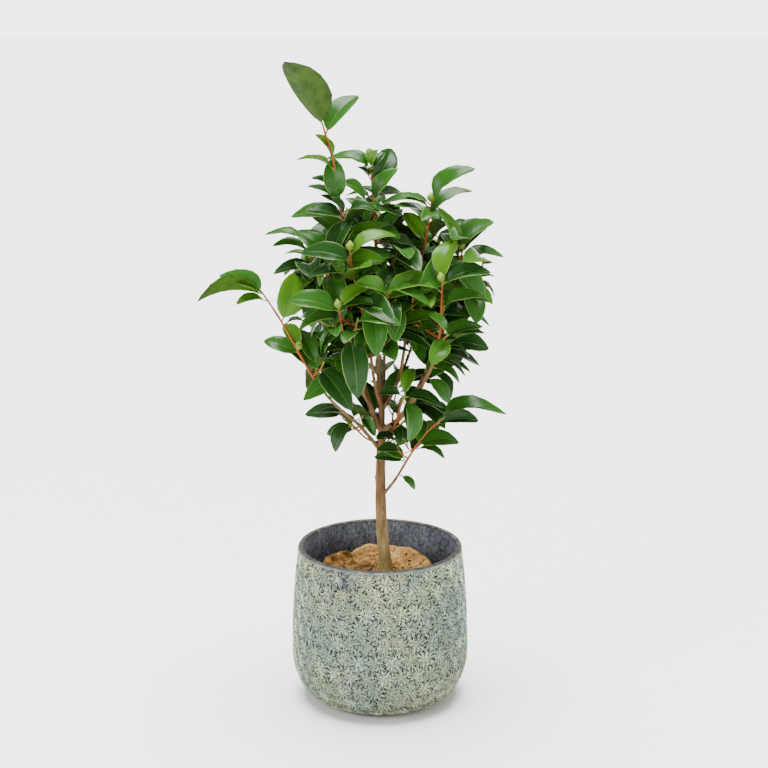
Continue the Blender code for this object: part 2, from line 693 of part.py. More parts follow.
def largest_body(mesh):
    """Drops every loose scrap but the largest connected body."""
    shape = bmesh.new()
    shape.from_mesh(mesh)
    left = set(shape.verts)
    bodies = []
    while left:
        body = {left.pop()}
        edge = list(body)
        while edge:
            vertex = edge.pop()
            for link in vertex.link_edges:
                other = link.other_vert(vertex)
                if other in left:
                    left.discard(other)
                    body.add(other)
                    edge.append(other)
        bodies.append(body)
    bodies.sort(key=len)
    for body in bodies[:-1]:
        bmesh.ops.delete(shape, geom=list(body), context="VERTS")
    bmesh.ops.triangulate(shape, faces=shape.faces)
    shape.to_mesh(mesh)
    shape.free()


def apply_boolean(item, operation, solver, **operand):
    """Applies one Boolean to an object and keeps its largest body."""
    change = item.modifiers.new(operation.title(), "BOOLEAN")
    change.operation = operation
    change.solver = solver
    for key, value in operand.items():
        setattr(change, key, value)
    mesh = evaluated_mesh(item)
    item.modifiers.clear()
    largest_body(mesh)
    item.data = mesh


def make_boughs(limbs, collection, cutters, material):
    """Each bough, cut clear of the limbs that it leaves and passes."""
    made = {}
    grown = add_object("trunk_clear", limbs["trunk"].mesh(TRUNK_SIDES, GAP), cutters)
    blocks = {"trunk": grown}
    for name in BOUGHS:
        item = add_object(f"bough_{name}", limbs[name].mesh(BOUGH_SIDES), collection)
        for cutter in blocks.values():
            apply_boolean(item, "DIFFERENCE", "EXACT", object=cutter)
        item.data.materials.clear()
        item.data.materials.append(material)
        blocks[name] = add_object(f"{name}_clear", limbs[name].mesh(BOUGH_SIDES, GAP), cutters)
        made[name] = item
    for cutter in blocks.values():
        cutter.hide_render = True
        cutter.display_type = "WIRE"
    return made


def make_mass(crown, name, collection, material):
    """One mass: its stem joined with its twigs, buds and leaves by a union."""
    stem, *twigs = [mesh for mesh, _ in crown.twigs[name]]
    item = add_object(f"foliage_{name}", stem, collection)
    pieces = make_collection(f"{name}_pieces")
    for mesh in twigs:
        add_object("twig", mesh, pieces)
    shapes = [shape for shape, _ in crown.buds[name]]
    shapes += [leaf.shape() for leaf, *_ in crown.leaves[name]]
    for places, faces in shapes:
        mesh = bpy.data.meshes.new("blade")
        mesh.from_pydata(places, [], faces)
        add_object("blade", mesh, pieces)
    apply_boolean(item, "UNION", "EXACT", operand_type="COLLECTION", collection=pieces)
    for piece in list(pieces.objects):
        bpy.data.objects.remove(piece)
    bpy.data.collections.remove(pieces)
    item.data.materials.clear()
    item.data.materials.append(material)
    return item


def grow_crown(limbs, bough_solids):
    """Grows stems, twigs, buds and leaves in turn, so that stems come before leaves."""
    crown = Crown()
    crown.limbs = bough_solids
    draws = {name: random.Random(SEED + number) for number, name in enumerate(MASSES)}
    for name in MASSES:
        grow_stem(crown, limbs, name)
    for name in MASSES:
        grow_twigs(crown, name, draws[name])
    grow_buds(crown)
    for name in MASSES:
        grow_tip_leaves(crown, name, draws[name])
    for name in MASSES:
        grow_leaves(crown, name, draws[name])
    return crown


def main():
    clear_scene()
    parts = make_collection("potted_camellia")
    cutters = make_collection("cutters")
    pot_finish = make_material("pot", (0.34, 0.42, 0.38), 0.75)
    soil_finish = make_material("root_ball", (0.42, 0.25, 0.11), 0.9)
    bark_finish = make_material("bark", (0.36, 0.25, 0.14), 0.8)
    leaf_finish = make_material("foliage", (0.05, 0.20, 0.04), 0.35)

    make_pot(parts, pot_finish)
    make_root_ball(parts, soil_finish)

    limbs = {"trunk": make_trunk_limb()}
    add_object("trunk", limbs["trunk"].mesh(TRUNK_SIDES), parts, bark_finish)
    for name, row in BOUGHS.items():
        limbs[name] = make_bough_limb(limbs, row)
    boughs = make_boughs(limbs, parts, cutters, bark_finish)

    solids = [tree_of(item.data) for item in boughs.values()]
    solids.append(tree_of(bpy.data.objects["trunk"].data))
    crown = grow_crown(limbs, solids)
    for name in MASSES:
        make_mass(crown, name, parts, leaf_finish)
    for item in parts.objects:
        item.data.shade_smooth()
        item.data.set_sharp_from_angle(angle=math.radians(40))
    return crown


main()
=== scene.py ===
import math
import random

import bmesh
import bpy
import numpy as np
from mathutils import Matrix, Vector, geometry, noise
from mathutils.bvhtree import BVHTree


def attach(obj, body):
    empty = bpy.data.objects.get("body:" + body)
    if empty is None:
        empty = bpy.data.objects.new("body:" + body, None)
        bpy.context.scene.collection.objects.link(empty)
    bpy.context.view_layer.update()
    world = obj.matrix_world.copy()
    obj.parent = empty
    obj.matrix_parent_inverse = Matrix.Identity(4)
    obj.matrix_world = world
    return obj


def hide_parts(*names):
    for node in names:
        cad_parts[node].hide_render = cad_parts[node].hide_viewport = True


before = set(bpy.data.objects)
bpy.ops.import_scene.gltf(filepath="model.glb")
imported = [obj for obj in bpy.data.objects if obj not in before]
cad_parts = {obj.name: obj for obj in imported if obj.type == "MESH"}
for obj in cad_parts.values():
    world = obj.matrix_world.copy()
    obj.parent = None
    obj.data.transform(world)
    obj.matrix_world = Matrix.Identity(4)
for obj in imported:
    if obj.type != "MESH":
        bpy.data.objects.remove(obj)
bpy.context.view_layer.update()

GAP = 0.0003  # between pieces that touch in the real object
UP = Vector((0, 0, 1))
EVEN = (1, 1, 1)  # no stretch, or a factor that changes nothing
SEED = 23

# Pot
POT_HEIGHT = 0.230
POT_BELLY_RADIUS = 0.130
POT_BELLY_HEIGHT = 0.088
POT_RIM_RADIUS = 0.1195
POT_FOOT_RADIUS = 0.081
POT_CURVE_HEIGHT = 0.070  # height of the rounded turn from the underside to the side
POT_WALL = 0.0075
POT_FLOOR = 0.010
POT_SIDES = 176
RELIEF = 0.0008  # how far the star flowers stand out of the wall
LIP_BAND = 0.0038  # from the rim down to the first stars
LIP_RISE = 0.0032
LIP_SQUARE = 0.55  # below 1 flattens the lip's round top
BASE_BAND = 0.011  # height of the bare foot
STAR_RADIUS = 0.0146
STAR_EYE = 0.0011  # radius of the knob in its middle
STAR_RAYS = 12
RAY_WIDTH = 0.0013
# Share of the ray's length, of its width and of the relief
RAY_SECTIONS = ((0.03, 0.16, 0.9), (0.34, 0.40, 1.0), (0.68, 1.0, 1.0), (0.88, 0.72, 0.9))
PIT_RISE = 0.00086
# Pits in the ring, share of the star's radius, half length and half width
PIT_RINGS = ((5, 0.46, 0.0010, 0.0007), (10, 0.76, 0.0014, 0.0009), (11, 1.02, 0.0016, 0.0011))
STARS_ROUND = 33
STAR_PITCH = 0.0240  # from row to row, about
STAR_START = 0.001  # plain wall above the stars
STAR_END = 0.016  # and below them
STAR_STRAY = 0.0018
GRAINS = 2600
STRANDS = 1700
PINHOLES = 5200
GRAIN_SIZE = 0.00095
# Pale, teal, sand and slate
GLAZE_TONES = ((0.33, 0.43, 0.26), (0.205, 0.31, 0.24), (0.34, 0.335, 0.20), (0.135, 0.135, 0.140))
RECESS_TONES = ((0.190, 0.232, 0.165), (0.108, 0.155, 0.132), (0.205, 0.192, 0.135), (0.060, 0.065, 0.078))
SLATE_STAIN = (-0.0555, -0.1087, 0.207)
WALL_UNEVEN = 0.00035
CLAY_CHIP = (246.5, 0.0752)  # azimuth and height

# Root ball and its litter
BALL_CENTRE = Vector((-0.005, 0, 0))
BALL_TOP_RADIUS = 0.079
BALL_FOOT_RADIUS = 0.062
BALL_RIM_HEIGHT = 0.203
BALL_SIDES = 168
SOIL_LEVEL = 0.188
SOIL_FLAT_RADIUS = 0.030
DAMP_SIDE = (-0.060, 0.020, 0.198)
CLOD_SIDE = 190  # azimuth where the rim is lowest and roughest
CLOD_SPLIT = 122  # azimuth of a narrow gap in it
RIM_LUMPS = 0.0042
RIM_DROP = 0.0030
SPLIT_DROP = 0.0060
SPLIT_WIDTH = 0.07  # in radians
CLAY_LUMP = 0.0024
CLAY_CRUST = 0.0006
CLAY_CRACK = 0.0022
CHIPS = 130
CRUMBS = 260
LITTER = (  # name, colour, roughness
    ("chip_dark", (0.030, 0.013, 0.005), 0.85), ("chip_orange", (0.36, 0.110, 0.014), 0.85),
    ("chip_tan", (0.34, 0.22, 0.095), 0.85), ("crumb", (0.24, 0.115, 0.028), 0.85),
    ("moss", (0.050, 0.058, 0.010), 0.85),
)

# Trunk and bark
TRUNK_FOOT = Vector((0.0074, 0, SOIL_LEVEL + GAP))
TRUNK_TIP = Vector((0.0035, 0, 0.406))
TRUNK_BOW = Vector((-0.0035, 0.002, 0.298))
TRUNK_FOOT_RADIUS = 0.0093
TRUNK_TIP_RADIUS = 0.0062
TRUNK_FLARE = 0.0042  # extra radius at the ground
TRUNK_FLARE_HEIGHT = 0.010
TRUNK_SCARS = (  # height, azimuth, size
    (0.226, 250, 0.0050), (0.262, 30, 0.0040), (0.298, 300, 0.0050), (0.331, 180, 0.0045),
    (0.352, 75, 0.0040), (0.377, 265, 0.0045),
)
COLLAR = 0.0011  # extra radius where a bough leaves its carrier
COLLAR_REACH = 0.005
BARK_GRAIN = 0.0008  # the finest detail that the melted bark keeps
BARK_FURROW = 0.00022
BARK_LUMP = 0.00035
BARK_GRIT = 0.00006
BOUGH_BARK = 0.45  # share of the trunk's relief
SCAR_RISE = 0.0007
SCAR_RING = 0.00012

# Limbs
LIMB_STEPS = 6
TWIG_STEPS = 3
STUB = 0.003  # straight length at each end of a limb
PULL = 0.36  # how far a limb keeps its first and last direction, as a share of its reach
TWIG_SIDES = 3
TWIG_SECTION = 1.25  # corner of a twig's section, as a share of its radius
TWIG_TIP_RADIUS = 0.0013
TWIG_RADIUS = 0.0017  # of a side twig at its foot, at most
TWIG_RIM = 0.022  # how far a side twig's tip keeps inside the crown's outline
TWIGS_FROM = 0.14  # the lowest side twig, as a share of its stem
TWIGS_SPAN = 0.50  # and the share that the side twigs spread over
STEM_SINK = 0.004  # how far a stem's foot reaches into its bough
OLD_WOOD = 0.34  # share of a stem that is tan
WOOD = (  # name, colour, roughness, gloss
    ("twig_old", (0.135, 0.070, 0.032), 0.7, 0.1), ("twig_red", (0.215, 0.057, 0.014), 0.5, 0.12),
    ("twig_young", (0.200, 0.105, 0.018), 0.45, 0.15),
)
GOLDEN_ANGLE = 137.5
TRIES = 9
TWIG_RETRY_TURN = 47
CLEARANCE = 0.0005  # kept to the other limbs and masses

# Finer growth
FINE_SHOOTS = 1  # on a side twig, and one more on a stem
FINE_TRIES = 6
FINE_REACH = (0.018, 0.034)
FINE_LENGTH = (0.040, 0.064)
FINE_RIM = 0.012  # how far their tips keep inside the crown's outline
FINE_RADIUS = 0.0012
FINE_LEAVES = 3
MORE_LEAVES = 2
BEHIND_FORK = ("low_back", "back", "back_left", "back_right", "centre", "right_top")
BEHIND_LEAVES = 7
BEHIND_TOP = 0.38  # the share of the stem that they grow on

# Leaves
LEAF_WIDTH = 0.48  # of its length
LEAF_THICKNESS = 0.018  # of its length, at the midrib
LEAF_LEAST_THICKNESS = 0.0011
LEAF_STATIONS = ((0.27, 0.95), (0.73, 0.84))  # along the blade, share of the full width
BLADE_START = 0.16  # where the blade begins past its stalk
LEAF_ROOT = 0.0010  # half width of the leaf stalk
TWIG_LEAVES = 5
LEAF_LENGTH = (0.062, 0.082)
TOP_LEAF_SIZE = 0.86  # the topmost leaf of a shoot against the others
LEAF_SPACING = 0.019
LEAF_BOW = (0.10, 0.38)  # drop of a leaf's tip, as a share of its length
LIGHT = Vector((0.05, -0.32, 1))  # where the blades turn their upper sides
LIGHT_OUT = 0.24  # and how far they turn outwards from the crown's axis
FRONT_LIGHT = Vector((0.05, -0.55, 1))  # where the leaves of the outline turn theirs
AXIS_LEAN = 0.3  # how far a blade's upper side leans with its shoot
SHOOT_END = 0.995  # the furthest share along a shoot where a leaf or bud sits
FIRST_ANGLE = 34  # between a shoot's first leaf and the shoot
NEXT_ANGLE = 11  # added for each leaf further down
LEAF_RETRY_TURN = 31
LEAF_STALK = 0.007
STALK_RADIUS = 0.0008
LEAF_SKIN = 0.00026  # half the blade's thickness
LEAF_FULLNESS = 1.12  # the finished blade's width against the solid's
LEAF_CAMBER = 0.22  # swell of each half, as a share of its width
LEAF_ARCH = 0.055  # rise of the midrib, as a share of the length
# Across a leaf: share of the half width, from one margin to the other
LEAF_ACROSS = (-1.0, -0.94, -0.5, -0.034, 0.034, 0.5, 0.94, 1.0)
# Along the blade past its stalk: share of the length, share of the full width
LEAF_ALONG = (
    (0.0, 0.06), (0.06, 0.38), (0.16, 0.72), (0.30, 0.94), (0.46, 1.00),
    (0.63, 0.95), (0.79, 0.76), (0.93, 0.38),
)
VEIN_PITCH = 56.0  # radians of vein waves along a leaf
VEIN_LAG = 34.0  # and how far they lag towards the margin
LEAF_GLOSS = 0.27  # roughness of the upper side
LEAF_SHEEN = 0.13
LEAF_GREENS = {  # upper side, underside
    "deep": ((0.0100, 0.041, 0.0060), (0.023, 0.047, 0.007)),
    "full": ((0.0182, 0.077, 0.0070), (0.027, 0.056, 0.007)),
    "fresh": ((0.0335, 0.112, 0.0070), (0.029, 0.063, 0.006)),
    "young": ((0.0480, 0.135, 0.0060), (0.027, 0.068, 0.004)),
}
# Painted shade: leaves above this height are painted darker, as they are backlit.
CROWN_MIDDLE = 0.63  # leaves deepen in colour above and below this height
PAINTED_TOP_SHADE = 3.0  # how fast, per metre
LOW_DEEPER = 1.6

# Buds
BUD_RADIUS = 0.0060
BUD_LENGTH = 0.015
BUD_LEAST_RADIUS = 0.0004
BUD_ROWS = 5
BUD_COLUMNS = 4
BUD_SCALES = (  # name, colour, roughness, gloss
    ("bud_outer", (0.10, 0.18, 0.018), 0.45, 0.2), ("bud_middle", (0.17, 0.27, 0.028), 0.45, 0.2),
    ("bud_inner", (0.24, 0.34, 0.045), 0.5, 0.2), ("bud_leaf", (0.12, 0.17, 0.025), 0.45, 0.2),
)
TIP_BUD_LENGTH = (0.006, 0.011)
TIP_BUD_RADIUS = 0.0013

# The crown's furthest reach from its upright axis at each height, without its longest shoots
CROWN_AXIS = Vector((0.016, 0, 0))
CROWN_OUTLINE = (
    (0.38, 0.050), (0.46, 0.124), (0.55, 0.140), (0.64, 0.156),
    (0.71, 0.143), (0.77, 0.106), (0.83, 0.075), (0.93, 0.020),
)

# The open space in front of the fork, where the boughs show between the leaves
OPEN_MIDDLE = Vector((0.022, -0.070, 0.475))
OPEN_REACH = Vector((0.056, 0.075, 0.064))

# Boughs: carrier, share of the way along it, tip, rise at the foot and the tip, both radii
BOUGHS = {
    "left": ("trunk", 0.97, (-0.028, -0.010, 0.488), 62, 72, 0.0044, 0.0033),
    "centre": ("trunk", 1.00, (-0.002, 0.004, 0.486), 86, 90, 0.0042, 0.0030),
    "right": ("trunk", 0.99, (0.059, -0.040, 0.478), 24, 56, 0.0044, 0.0034),
    "low_left": ("trunk", 0.84, (-0.044, -0.021, 0.428), 50, 40, 0.0031, 0.0024),
    "low_right": ("trunk", 0.50, (0.024, -0.012, 0.335), 64, 58, 0.0026, 0.0021),
    "back": ("trunk", 0.93, (0.006, 0.050, 0.480), 45, 70, 0.0036, 0.0027),
    "right_upper": ("centre", 0.30, (0.033, 0.014, 0.506), 50, 82, 0.0030, 0.0025),
    "right_side": ("right", 0.34, (0.066, 0.002, 0.488), 45, 56, 0.0028, 0.0024),
    "front_left": ("left", 0.50, (-0.031, -0.034, 0.486), 45, 70, 0.0026, 0.0022),
    "front": ("centre", 0.45, (-0.014, -0.034, 0.530), 50, 72, 0.0026, 0.0022),
    "left_side": ("left", 0.72, (-0.056, 0.012, 0.524), 50, 60, 0.0025, 0.0022),
    "back_left": ("back", 0.40, (-0.038, 0.050, 0.490), 40, 66, 0.0027, 0.0023),
    "back_right": ("back", 0.55, (0.042, 0.060, 0.500), 38, 66, 0.0026, 0.0023),
}

# Masses: the limb whose tip or side it grows from, share of the way along it, the tip of its
# stem, the rise there, radius at the foot, side twigs, their reach, leaves on the stem
MASSES = {
    "leader": ("left", 1, (-0.077, -0.036, 0.838), 68, 0.0028, 3, 0.070, 5),
    "centre": ("centre", 1, (-0.012, 0.000, 0.776), 86, 0.0028, 4, 0.074, 5),
    "right_top": ("right_upper", 1, (0.072, -0.010, 0.732), 82, 0.0024, 4, 0.075, 4),
    "right_side": ("right_side", 1, (0.117, 0.004, 0.664), 74, 0.0023, 3, 0.075, 3),
    "front_right": ("right", 1, (0.085, -0.080, 0.632), 86, 0.0028, 2, 0.060, 3),
    "front": ("front", 1, (-0.040, -0.074, 0.673), 80, 0.0020, 3, 0.065, 5),
    "front_left": ("front_left", 1, (-0.055, -0.090, 0.596), 76, 0.0020, 3, 0.060, 2),
    "left": ("left_side", 1, (-0.102, -0.008, 0.676), 72, 0.0020, 3, 0.065, 5),
    "left_sprig": ("low_left", 1, (-0.160, -0.060, 0.612), 55, 0.0023, 1, 0.040, 0),
    "low_right": ("low_right", 1, (0.086, -0.040, 0.428), 40, 0.0020, 1, 0.030, 1),
    "low_front": ("trunk", 0.97, (0.034, -0.060, 0.466), 52, 0.0019, 0, 0.045, 0),
    "low_left": ("trunk", 0.90, (-0.054, 0.022, 0.418), 30, 0.0018, 1, 0.040, 2),
    "low_back": ("trunk", 0.86, (0.028, 0.062, 0.468), 50, 0.0018, 2, 0.050, 5),
    "back": ("back", 1, (0.010, 0.090, 0.712), 80, 0.0025, 4, 0.080, 6),
    "back_left": ("back_left", 1, (-0.078, 0.080, 0.668), 74, 0.0021, 4, 0.070, 6),
    "back_right": ("back_right", 1, (0.080, 0.086, 0.655), 76, 0.0021, 4, 0.074, 6),
}

# The leaves that make the outline: share of the way up the stem, azimuth, rise, length,
# how far the blade bows, and for some how far it rolls
TIP_LEAVES = {
    "leader": (
        (1.00, 208, 64, 0.104, 0.05, 105), (0.96, 24, 58, 0.072, 0.24), (0.85, 200, 62, 0.046, 0.06),
        (0.815, 186, 34, 0.054, 0.20), (0.70, 115, 52, 0.068, 0.10), (0.81, 8, 0, 0.044, 0.12),
        (0.73, 190, 40, 0.042, 0.06), (0.63, 186, 22, 0.064, 0.42), (0.60, 352, 36, 0.078, 0.34),
        (0.55, 168, 50, 0.062, 0.12),
    ),
    "centre": (
        (0.91, 38, 56, 0.062, 0.22), (1.00, 180, 40, 0.058, 0.48), (1.00, 300, 70, 0.030, 0.05),
        (1.00, 110, 72, 0.032, 0.05), (0.85, 176, 30, 0.038, 0.36),
        (0.70, 130, 50, 0.050, 0.10), (0.69, 30, 50, 0.042, 0.10),
    ),
    "right_top": (
        (1.00, 345, 50, 0.074, 0.14), (0.90, 8, 42, 0.070, 0.12), (1.00, 172, 38, 0.046, 0.16),
        (0.97, 190, 34, 0.066, 0.26), (0.82, 150, 48, 0.060, 0.12), (0.76, 170, 58, 0.050, 0.05),
    ),
    "right_side": (
        (0.98, 20, 50, 0.062, 0.08), (1.00, 96, 62, 0.060, 0.06), (0.92, 170, 56, 0.046, 0.08),
        (0.94, 350, 20, 0.056, 0.30), (0.78, 352, 26, 0.038, 0.34), (0.42, 40, 50, 0.042, 0.10),
        (0.35, 345, 14, 0.054, 0.16), (0.22, 352, 2, 0.072, 0.04), (0.02, 320, -30, 0.056, 0.10),
    ),
    "front_right": (
        (1.00, 66, 60, 0.068, 0.05), (0.97, 350, 30, 0.064, 0.20), (0.90, 188, 34, 0.068, 0.60),
        (0.76, 350, 32, 0.062, 0.40), (0.66, 200, 10, 0.060, 0.16), (0.20, 352, -14, 0.044, 0.20),
        (0.10, 338, -40, 0.048, 0.12),
    ),
    "left": ((1.00, 182, 30, 0.056, 0.30), (0.90, 190, 22, 0.052, 0.16)),
    "left_sprig": (
        (1.00, 187, 16, 0.090, 0.22), (0.99, 172, 44, 0.064, 0.60), (0.94, 206, 6, 0.046, 0.05),
        (0.78, 20, 72, 0.070, 0.12, 50), (0.76, 350, 20, 0.030, 0.05), (0.58, 84, 66, 0.058, 0.05),
        (0.55, 186, 26, 0.052, 0.16), (0.42, 160, 48, 0.044, 0.10), (0.40, 20, 30, 0.038, 0.30),
    ),
    "low_front": (
        (1.00, 60, 60, 0.046, 0.06), (0.98, 300, -62, 0.060, 0.06), (0.96, 340, -30, 0.048, 0.30),
        (0.99, 350, 18, 0.052, 0.34), (1.00, 185, 20, 0.034, 0.30),
    ),
    "low_right": (
        (1.00, 354, 30, 0.084, 0.34), (0.90, 2, 12, 0.062, 0.12), (0.52, 0, 14, 0.060, 0.12),
        (0.46, 335, 4, 0.046, 0.08), (0.26, 170, 34, 0.042, 0.06), (0.05, 340, -30, 0.032, 0.10),
    ),
    "low_left": ((1.00, 190, 22, 0.050, 0.42), (0.70, 220, -34, 0.046, 0.10)),
    "front_left": (
        (1.00, 14, 50, 0.054, 0.20), (0.96, 184, 22, 0.070, 0.14), (0.95, 350, 28, 0.054, 0.20),
        (0.84, 202, 8, 0.058, 0.10), (0.34, 190, 42, 0.056, 0.14), (0.28, 330, 36, 0.044, 0.30),
        (0.02, 214, 6, 0.074, 0.40),
    ),
    "front": ((0.90, 190, 26, 0.064, 0.34), (0.96, 10, 36, 0.066, 0.16), (0.74, 200, 20, 0.060, 0.20)),
}

# Flower buds: mass, share of the way up its stem, azimuth, rise
BUDS = (
    ("leader", 0.775, 0, 62), ("right_top", 1.0, 120, 76), ("front_right", 1.0, 200, 72),
    ("front_left", 1.0, 160, 78), ("front", 1.0, 100, 84), ("left", 1.0, 60, 70),
    ("left", 0.95, 350, 60), ("left_sprig", 0.57, 60, 70), ("right_side", 1.0, 190, 66),
    ("back", 1.0, 90, 80), ("back_left", 1.0, 90, 76), ("back_right", 1.0, 70, 76),
)

# Leaves of the outline that the solids leave out, in the same order of values
OUTLINE_LEAVES = {
    "leader": ((0.66, 190, 50, 0.056, 0.08), (0.42, 190, 16, 0.060, 0.14)),
    "centre": (
        (0.84, 334, 60, 0.058, 0.08), (0.60, 188, 26, 0.054, 0.20), (1.00, 30, 58, 0.034, 0.10),
        (1.00, 200, 62, 0.032, 0.10), (1.00, 250, 50, 0.030, 0.12),
    ),
    "right_side": ((0.12, 352, 4, 0.066, 0.14), (0.58, 348, 30, 0.056, 0.16)),
    "right_top": ((0.60, 196, 40, 0.054, 0.16),),
    "left": ((0.72, 196, 14, 0.056, 0.16), (0.5, 176, 20, 0.052, 0.16)),
    "low_left": ((0.62, 186, 2, 0.054, 0.18),),
    "low_right": ((0.24, 172, 16, 0.046, 0.20),),
}

# Placed leaves turned further than in the solids: azimuth, rise, length, bow, roll
TURNED_LEAVES = {
    ("left_sprig", 0): (187, 4, 0.090, 0.13, 76), ("centre", 0): (34, 58, 0.066, 0.14, 45),
    ("leader", 4): (222, 78, 0.058, 0.10, -34),
}

# Placed leaves by mass and number: factors on their width, the youngest green with some leaves lit as
# painted light, and the deepest green as painted shade
BROADER_LEAVES = {
    ("leader", 0): 1.22, ("leader", 4): 1.18, ("left_sprig", 0): 1.15, ("left_sprig", 1): 1.15,
    ("right_top", 0): 1.12, ("low_left", 0): 1.2, ("low_left", 1): 1.25,
}
YOUNG_AND_LIT_LEAVES = {
    ("leader", 2), ("leader", 3), ("left_sprig", 0), ("left_sprig", 3), ("left_sprig", 5),
    ("front_right", 0), ("front_left", 0), ("right_top", 5), ("front", 1), ("low_front", 0),
    ("centre", 2), ("centre", 3),
}
SHADED_LEAVES = {("front_left", 12), ("left_sprig", 10), ("left_sprig", 15)}

# Studio
FLOOR = 400  # half its width
SKY_STRENGTH = 4
SKY_EDGE = 1.1  # brightness low down
SKY_TOP = 0.125  # and higher up
OVER_LIGHT = 11.2
OVER_SPREAD = 42  # in degrees
OVER_FROM = (-0.02, 0.08, 1.0)
# Name, place and power
LAMPS = (("lamp_left", (-1.7, -1.3, 1.3), 26), ("lamp_right", (1.7, -1.0, 1.6), 6))
LAMP_SIZE = 0.9
LAMP_AIM = (0, 0, 0.5)
CAMERA_PLACE = (0.0059, -2.13, 0.974)
CAMERA_TILT = 76.7
CAMERA_LENS = 71.86


def put(name, data):
    """A new object in the scene."""
    item = bpy.data.objects.new(name, data)
    bpy.context.scene.collection.objects.link(item)
    return item


def evaluated_mesh(item):
    """The mesh of an object with its modifiers, as a new mesh in its own coordinates."""
    graph = bpy.context.evaluated_depsgraph_get()
    return bpy.data.meshes.new_from_object(item.evaluated_get(graph))


def mesh_values(rows, key):
    """A vector of each of a mesh's parts, as rows of an array."""
    flat = np.empty(len(rows) * 3)
    rows.foreach_get(key, flat)
    return flat.reshape(-1, 3)


def way(azimuth, rise):
    """A unit vector at an azimuth and a rise, both in degrees."""
    turn = math.radians(azimuth)
    lift = math.radians(rise)
    return Vector((math.cos(lift) * math.cos(turn), math.cos(lift) * math.sin(turn), math.sin(lift)))


def polar(turn, radius=1.0, height=0.0):
    """A place at an angle round the upright axis."""
    return Vector((radius * math.cos(turn), radius * math.sin(turn), height))


def rolled(vector, turn, axis):
    """The vector itself, turned about an axis by an angle in degrees."""
    vector.rotate(Matrix.Rotation(math.radians(turn), 3, axis))
    return vector


def curved_path(foot, foot_way, tip, tip_way, steps, stub=STUB):
    """A smooth path that leaves and arrives in given directions, with a straight stub at each end."""
    start = foot + foot_way * stub
    end = tip - tip_way * stub
    pull = (end - start).length * PULL
    middle = geometry.interpolate_bezier(
        start, start + foot_way * pull, end - tip_way * pull, end, steps + 1
    )
    return [foot, *middle, tip] if stub else middle


class Limb:
    """A tapering limb: its path and its radii."""

    def __init__(self, path, foot_radius, tip_radius):
        self.path = path
        lengths = [0.0]
        for here, there in zip(path, path[1:]):
            lengths.append(lengths[-1] + (there - here).length)
        self.length = lengths[-1]
        self.shares = [length / self.length for length in lengths]
        self.radii = [foot_radius + (tip_radius - foot_radius) * share for share in self.shares]

    def at(self, share):
        """The place, direction and radius a share of the way along."""
        last = len(self.path) - 2
        i = next((k for k in range(last) if share <= self.shares[k + 1]), last)
        span = self.shares[i + 1] - self.shares[i]
        part = (share - self.shares[i]) / span
        place = self.path[i].lerp(self.path[i + 1], part)
        radius = self.radii[i] + (self.radii[i + 1] - self.radii[i]) * part
        return place, (self.path[i + 1] - self.path[i]).normalized(), radius

    def solid(self, grow=0.0):
        """A three-sided tube along the limb, for tests of what touches what."""
        section = bpy.data.curves.new("section", "CURVE")
        spline = section.splines.new("POLY")
        spline.points.add(TWIG_SIDES - 1)
        for i, point in enumerate(spline.points):
            point.co = (*polar(-math.tau * i / TWIG_SIDES, TWIG_SECTION), 1)
        spline.use_cyclic_u = True
        curve = bpy.data.curves.new("path", "CURVE")
        curve.dimensions = "3D"
        curve.use_fill_caps = True
        curve.bevel_mode = "OBJECT"
        curve.bevel_object = put("section", section)
        spline = curve.splines.new("POLY")
        spline.points.add(len(self.path) - 1)
        for point, place, radius in zip(spline.points, self.path, self.radii):
            point.co = (*place, 1)
            point.radius = radius + grow
        made = mesh_solid(evaluated_mesh(put("path", curve)))
        bpy.data.curves.remove(curve)
        bpy.data.curves.remove(section)
        return made


def make_trunk_limb():
    path = [TRUNK_FOOT + UP * rise for rise in (0, 0.003, 0.008)]
    start = TRUNK_FOOT + UP * 0.016
    for i in range(10):
        share = i / 9
        path.append(start.lerp(TRUNK_BOW, share).lerp(TRUNK_BOW.lerp(TRUNK_TIP, share), share))
    limb = Limb(path, TRUNK_FOOT_RADIUS, TRUNK_TIP_RADIUS)
    for i, place in enumerate(path):
        limb.radii[i] += TRUNK_FLARE * math.exp(-(place.z - TRUNK_FOOT.z) / TRUNK_FLARE_HEIGHT)
    limb.path.append(TRUNK_TIP + UP * 0.0025)
    limb.radii.append(TRUNK_TIP_RADIUS * 0.72)
    limb.shares.append(1.0001)
    return limb


def make_bough_limb(limbs, row):
    """A bough from its carrier's axis to its tip."""
    carrier, share, tip, foot_rise, tip_rise, foot_radius, tip_radius = row
    foot = limbs[carrier].at(share)[0]
    tip = Vector(tip)
    away = tip - foot
    azimuth = math.degrees(math.atan2(away.y, away.x))
    path = curved_path(foot, way(azimuth, foot_rise), tip, way(azimuth, tip_rise), LIMB_STEPS)
    return Limb(path, foot_radius, tip_radius)


class Solid:
    """A closed shape with its bounds, for tests of what touches what."""

    def __init__(self, places, faces):
        self.tree = BVHTree.FromPolygons(places, faces)
        self.low = [min(place[axis] for place in places) for axis in range(3)]
        self.high = [max(place[axis] for place in places) for axis in range(3)]

    def touches(self, other):
        for axis in range(3):
            if self.low[axis] > other.high[axis] or other.low[axis] > self.high[axis]:
                return False
        return bool(self.tree.overlap(other.tree))


def mesh_solid(mesh):
    places = [vertex.co.copy() for vertex in mesh.vertices]
    return Solid(places, [tuple(face.vertices) for face in mesh.polygons])


